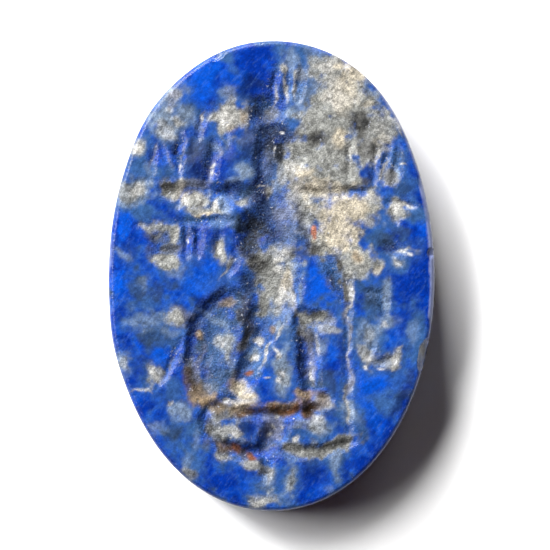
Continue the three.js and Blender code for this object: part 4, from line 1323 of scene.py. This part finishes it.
@dataclass
class Gem:
    """The stone: a blank ground to its outline, then engraved, chipped, painted and dressed.

    The profile goes down from the face, by how far the wall is in from the girdle and its height. Each
    wear is its depth, the size of its clouds, their octaves and which noise it is. FLAT is how near to the
    top a vertex of the face is, SHARPEST the steepest bend in degrees that is shaded smooth, PITCH how
    steeply a chip's floor falls, SCUFF_AND_SHEEN_FROM the height where the rim's pale band of scuffs and
    painted sheen starts, and WALL_BELOW the share of the height below which nothing is painted.
    """

    FLAT = 1e-4
    SHARPEST = 60
    PITCH = 0.6
    SCUFF_AND_SHEEN_FROM = 3.1
    WALL_BELOW = 0.6

    oval: Oval
    top: float
    engraving: Engraving
    minerals_and_painted_light: MineralsAndPaintedLight
    finish: LapisFinish
    cells_across: int = 226
    cells_along: int = 326
    face_inset: float = 0.27
    profile: tuple[tuple[float, float], ...] = (
        (0.2, 3.57),
        (0.12, 3.5),
        (0.07, 3.43),
        (0.05, 3.2),
        (0.0, 1.62),
        (0.1, 1.0),
        (0.22, 0.5),
        (0.3, 0.26),
        (0.55, 0.0),
    )
    wear: tuple[tuple[float, float, int, Seed], ...] = (
        (0.03, 2.2, 3, Seed.BROAD_WEAR),
        (0.02, 0.5, 3, Seed.MIDDLE_WEAR),
        (0.012, 0.16, 2, Seed.FINE_WEAR),
    )
    rim_rounding: float = 0.03
    rim_share: float = 0.06
    # The rim's pale bands: partly real scuffing, partly painted sheen on the polished edge.
    scuffs_and_sheen: tuple[ScuffAndSheen, ...] = (
        ScuffAndSheen(172, 12, 0.16, 0.5),
        ScuffAndSheen(196, 16, 0.12, 0.3),
        ScuffAndSheen(8, 30, 0.26, 0.9),
        ScuffAndSheen(46, 18, 0.15, 0.6),
        ScuffAndSheen(-44, 24, 0.14, 0.4),
    )
    chips: tuple[Chip, ...] = (
        Chip(-27, 1.7, 0.5, 0.38),
        Chip(71, 0.8, 0.22),
        Chip(104, 0.9, 0.18),
        Chip(8, 0.6, 0.2),
    )

    def make(self) -> bpy.types.Object:
        """Makes the whole stone.

        Returns:
            The finished piece.
        """
        face = FaceMap(self.oval.half_width, self.oval.half_length)
        piece = self.grind_blank()
        depth = self.engraving.depth(face)
        self.engrave(piece, face, depth)
        self.paint(piece, face, depth)
        piece.data.materials.append(self.finish.material())
        bpy.ops.object.select_all(action="DESELECT")
        piece.select_set(True)
        bpy.context.view_layer.objects.active = piece
        bpy.ops.object.shade_smooth_by_angle(angle=math.radians(self.SHARPEST))
        return piece

    def grind_blank(self) -> bpy.types.Object:
        """Makes the uncut stone from a flat grid.

        Returns:
            The blank, a closed mesh with its place in its vertices.
        """
        bpy.ops.object.select_all(action="DESELECT")
        bpy.ops.mesh.primitive_grid_add(
            x_subdivisions=self.cells_across, y_subdivisions=self.cells_along, size=2
        )
        piece = bpy.context.object
        piece.name = "gem"
        self.round_off(piece.data)
        bpy.ops.object.mode_set(mode="EDIT")
        bpy.ops.mesh.select_mode(type="EDGE")
        bpy.ops.mesh.select_all(action="DESELECT")
        bpy.ops.mesh.select_non_manifold()
        inset, height = self.face_inset, self.top
        for next_inset, next_height in self.profile:
            drop = (0, 0, (next_height - height) * MM)
            bpy.ops.mesh.extrude_region_move(TRANSFORM_OT_translate={"value": drop})
            wider = (self.oval.half_width - next_inset) / (self.oval.half_width - inset)
            longer = (self.oval.half_length - next_inset) / (self.oval.half_length - inset)
            bpy.ops.transform.resize(value=(wider, longer, 1), center_override=(0, 0, 0))
            inset, height = next_inset, next_height
        bpy.ops.mesh.edge_face_add()
        bpy.ops.mesh.select_all(action="SELECT")
        bpy.ops.mesh.normals_make_consistent(inside=False)
        bpy.ops.object.mode_set(mode="OBJECT")
        return piece

    def round_off(self, mesh: bpy.types.Mesh) -> None:
        """Moves a square grid's vertices so that its edge becomes the outline of the flat face."""
        square = read(mesh)
        u, v = square[:, 0], square[:, 1]
        disc_x = u * np.sqrt(1 - v * v / 2)
        disc_y = v * np.sqrt(1 - u * u / 2)
        x = disc_x * (self.oval.half_width - self.face_inset)
        y = disc_y * (self.oval.half_length - self.face_inset)
        angle = np.arctan2(y, x)
        plain = Oval(self.oval.half_width, self.oval.half_length, 2.0, ())
        share = np.hypot(disc_x, disc_y) ** 4
        swell = self.oval.reach(angle, self.face_inset) / plain.reach(angle, self.face_inset)
        grow = 1 + (swell - 1) * share
        write(mesh, np.column_stack([x * grow, y * grow, np.full_like(x, self.top)]) * MM)

    def engrave(self, piece: bpy.types.Object, face: FaceMap, depth: np.ndarray) -> None:
        """Sinks the carving, the wear and the chips into the blank.

        Args:
            piece: the blank.
            face: the map of the face.
            depth: the depth of the carving.
        """
        x, y, z = (read(piece.data) / MM).T
        on_face = z > self.top - self.FLAT
        wear = sum(deep * face.clouds(size, octaves, seed) for deep, size, octaves, seed in self.wear)
        lowered = face.sample(depth + wear, x, y)
        inside = 1 - np.hypot(x, y) / self.oval.reach(np.arctan2(y, x), self.face_inset)
        settle = ramp(inside, 0, self.rim_share)
        rounding = self.rim_rounding * (1 - settle) ** 2
        z = np.where(on_face, z - lowered * settle - rounding, z)
        places = np.column_stack([x, y, z])
        for chip in self.chips:
            places = self.strike(places, chip)
        write(piece.data, places * MM)

    def strike(self, places: np.ndarray, chip: Chip) -> np.ndarray:
        """Knocks one chip out of the rim.

        Args:
            places: the vertices, in millimetres.
            chip: the chip.

        Returns:
            The vertices, with those in the chip pushed down and in to its floor.
        """
        angle = math.radians(chip.bearing)
        reach = float(self.oval.reach(np.array([angle]), 0)[0])
        middle = np.array([reach * math.cos(angle), reach * math.sin(angle), self.top])
        outward = np.array([middle[0] / self.oval.half_width**2, middle[1] / self.oval.half_length**2, 0])
        outward /= np.linalg.norm(outward)
        tangent = np.array([-outward[1], outward[0], 0])
        upright = np.array([0, 0, 1.0])
        axes = np.vstack([outward / chip.inward, tangent / (0.5 * chip.along), upright / chip.depth])
        local = (places - middle) @ axes.T
        inside = (local**2).sum(axis=1) < 1
        way = -outward - self.PITCH * upright
        push = axes @ way
        start = local[inside]
        a = push @ push
        b = start @ push
        c = (start**2).sum(axis=1) - 1
        travel = (-b + np.sqrt(b * b - a * c)) / a
        moved = places.copy()
        moved[inside] += travel[:, None] * way
        return moved

    def paint(self, piece: bpy.types.Object, face: FaceMap, depth: np.ndarray) -> None:
        """Writes the mineral colours, the soil and the painted glints, sheen and shade on the stone's
        vertices.

        Args:
            piece: the stone.
            face: the map of the face.
            depth: the depth of the carving.
        """
        x, y, z = (read(piece.data) / MM).T
        colour = [face.sample(channel, x, y) for channel in self.minerals_and_painted_light.paint(face)]
        ground = ramp(face.sample(face.blur(depth, 0.16), x, y), 0, 0.05)
        warmth = colour[0] / colour[2]
        chalky = ramp(warmth, 0.2, 0.55)
        earthy = ramp(warmth, 1.3, 1.5)
        inward = self.oval.inward(x, y)
        painted = ramp(inward, 0.05, 0.02) * (z > self.WALL_BELOW * self.top)
        # The rim band, partly scuffing and partly painted sheen, only on the upper edge.
        rim = self.scuff_and_sheen_over(face, x, y) * ramp(z, self.SCUFF_AND_SHEEN_FROM, 0.15)
        edge = ramp(-inward, -0.34, 0.1)
        # The first layer holds the mineral colours with painted glints, sheen and shade; the wear layer's
        # third channel is the rim band, partly scuffing and partly painted sheen.
        layers = {
            "minerals_and_painted_light": [*colour, painted],
            "wear": [chalky, earthy, rim, np.maximum(ground, 0.5 * edge) * painted],
        }
        for name, channels in layers.items():
            attribute = piece.data.color_attributes.new(name, "FLOAT_COLOR", "POINT")
            attribute.data.foreach_set("color", np.column_stack(channels).astype(np.float32).ravel())

    def scuff_and_sheen_over(self, face: FaceMap, x: np.ndarray, y: np.ndarray) -> np.ndarray:
        """Works out how strong the rim's pale band is, partly real scuffing and partly painted sheen.

        Args:
            face: the map of the face.
            x: the places across the stone.
            y: the places along it.

        Returns:
            Numbers between 0 and 1.
        """
        bearing = np.degrees(np.arctan2(y, x))
        inward = self.oval.inward(x, y)
        ragged = 0.16 * (face.sample(face.clouds(0.5, 4, Seed.SCUFF_AND_SHEEN_EDGE), x, y) - 0.5)
        rim = np.zeros_like(x)
        for scuff_and_sheen in self.scuffs_and_sheen:
            away = (bearing - scuff_and_sheen.bearing + 180) % 360 - 180
            along = ramp(scuff_and_sheen.spread - np.abs(away), 0, 8)
            across = ramp(scuff_and_sheen.width * along + ragged - inward, 0, 0.06)
            rim = np.maximum(rim, scuff_and_sheen.strength * along * across)
        return rim


def read(mesh: bpy.types.Mesh) -> np.ndarray:
    """Returns a mesh's vertices as rows of x, y and z."""
    places = np.empty(len(mesh.vertices) * 3)
    mesh.vertices.foreach_get("co", places)
    return places.reshape(-1, 3)


def write(mesh: bpy.types.Mesh, places: np.ndarray) -> None:
    """Moves a mesh's vertices to rows of x, y and z."""
    mesh.vertices.foreach_set("co", places.ravel())
    mesh.update()


# The studio


@dataclass(frozen=True)
class Lamp:
    """A softbox: its bearing and elevation in degrees, its width and height in millimetres, its watts."""

    bearing: float
    elevation: float
    wide: float
    high: float
    power: float


@dataclass
class Studio:
    """The floor, the light and the camera. Millimetres and degrees."""

    look_at: tuple[float, float, float] = (0.148, 0.042, 3.6)
    view_width: float = 23.26
    camera_height: float = 320.0
    sensor: float = 36.0
    floor_reach: float = 600.0
    lamps: tuple[Lamp, ...] = (
        Lamp(141, 42, 72, 184, 1.05),
        Lamp(111, 27, 150, 66, 1.65),
        Lamp(154, 52, 170, 110, 0.8),
        Lamp(62, 28, 120, 70, 0.05),
    )
    lamp_distance: float = 260.0
    fill: float = 0.028
    fill_tint: Tint = (1, 0.62, 0.48, 1)
    backdrop: Tint = (0.9, 0.9, 0.9, 1)
    paper_dark: Tint = (0.86, 0.86, 0.86, 1)
    paper_light: Tint = (0.9, 0.9, 0.9, 1)
    paper_grain: float = 900.0

    def make(self) -> None:
        """Sets up all of it."""
        self.set_camera()
        self.lay_floor()
        self.light()
        bpy.context.scene.view_settings.view_transform = "Standard"

    def set_camera(self) -> None:
        """Hangs a long lens straight above the stone, with Y up in the picture."""
        lens = bpy.data.cameras.new("camera")
        lens.sensor_width = self.sensor
        lens.lens = self.sensor * self.camera_height / self.view_width
        lens.clip_end = 10
        camera = bpy.data.objects.new("camera", lens)
        x, y, z = self.look_at
        camera.location = (x * MM, y * MM, (z + self.camera_height) * MM)
        bpy.context.scene.collection.objects.link(camera)
        bpy.context.scene.camera = camera

    def lay_floor(self) -> None:
        """Lays a plain pale floor just under the stone."""
        bpy.ops.object.select_all(action="DESELECT")
        bpy.ops.mesh.primitive_circle_add(vertices=64, radius=self.floor_reach * MM, fill_type="NGON")
        floor = bpy.context.object
        floor.name = "floor"
        white = bpy.data.materials.new("floor_white")
        white.use_nodes = True
        bench = Bench(white.node_tree)
        shader = next(node for node in white.node_tree.nodes if node.type == "BSDF_PRINCIPLED")
        shader.inputs["Roughness"].default_value = 0.9
        shader.inputs["Specular IOR Level"].default_value = 0.1
        where = bench.add("ShaderNodeTexCoord")
        paper = bench.add("ShaderNodeTexNoise")
        paper.inputs["Scale"].default_value = self.paper_grain
        bench.feed(paper.inputs["Vector"], where.outputs["Object"])
        tone = bench.blend(paper.outputs["Fac"], self.paper_dark, self.paper_light)
        bench.feed(shader.inputs["Base Color"], tone)
        floor.data.materials.append(white)

    def light(self) -> None:
        """Hangs the soft lamps, nearly all at the upper left, and keeps the rest of the room dim."""
        for number, lamp in enumerate(self.lamps):
            bearing, elevation = math.radians(lamp.bearing), math.radians(lamp.elevation)
            data = bpy.data.lights.new(f"softbox_{number}", "AREA")
            data.shape = "RECTANGLE"
            data.size = lamp.wide * MM
            data.size_y = lamp.high * MM
            data.energy = lamp.power
            hung = bpy.data.objects.new(data.name, data)
            flat = self.lamp_distance * math.cos(elevation)
            hung.location = (
                flat * math.cos(bearing) * MM,
                flat * math.sin(bearing) * MM,
                self.lamp_distance * math.sin(elevation) * MM,
            )
            hung.rotation_euler = (math.pi / 2 - elevation, 0, bearing + math.pi / 2)
            bpy.context.scene.collection.objects.link(hung)
        world = bpy.data.worlds.new("room")
        bpy.context.scene.world = world
        world.use_nodes = True
        world.node_tree.nodes.clear()
        bench = Bench(world.node_tree)
        dim = bench.add("ShaderNodeBackground")
        dim.inputs["Color"].default_value = self.fill_tint
        dim.inputs["Strength"].default_value = self.fill
        bright = bench.add("ShaderNodeBackground")
        bright.inputs["Color"].default_value = self.backdrop
        rays = bench.add("ShaderNodeLightPath")
        either = bench.add("ShaderNodeMixShader")
        bench.feed(either.inputs[0], rays.outputs["Is Camera Ray"])
        bench.feed(either.inputs[1], dim.outputs[0])
        bench.feed(either.inputs[2], bright.outputs[0])
        output = bench.add("ShaderNodeOutputWorld")
        bench.feed(output.inputs["Surface"], either.outputs[0])


def main() -> None:
    """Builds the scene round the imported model."""
    logging.basicConfig(level=logging.INFO, format="%(message)s")
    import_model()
    low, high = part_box(NODE)
    Studio().make()
    log.info("studio ready")
    oval = Oval(high.x / MM - HAIR, -low.y / MM - HAIR)
    gem = Gem(oval, high.z / MM, Engraving(), MineralsAndPaintedLight(), LapisFinish()).make()
    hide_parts(NODE)
    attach(gem, BODY)
    log.info("gem: %d faces", len(gem.data.polygons))


if __name__ == "__main__":
    main()
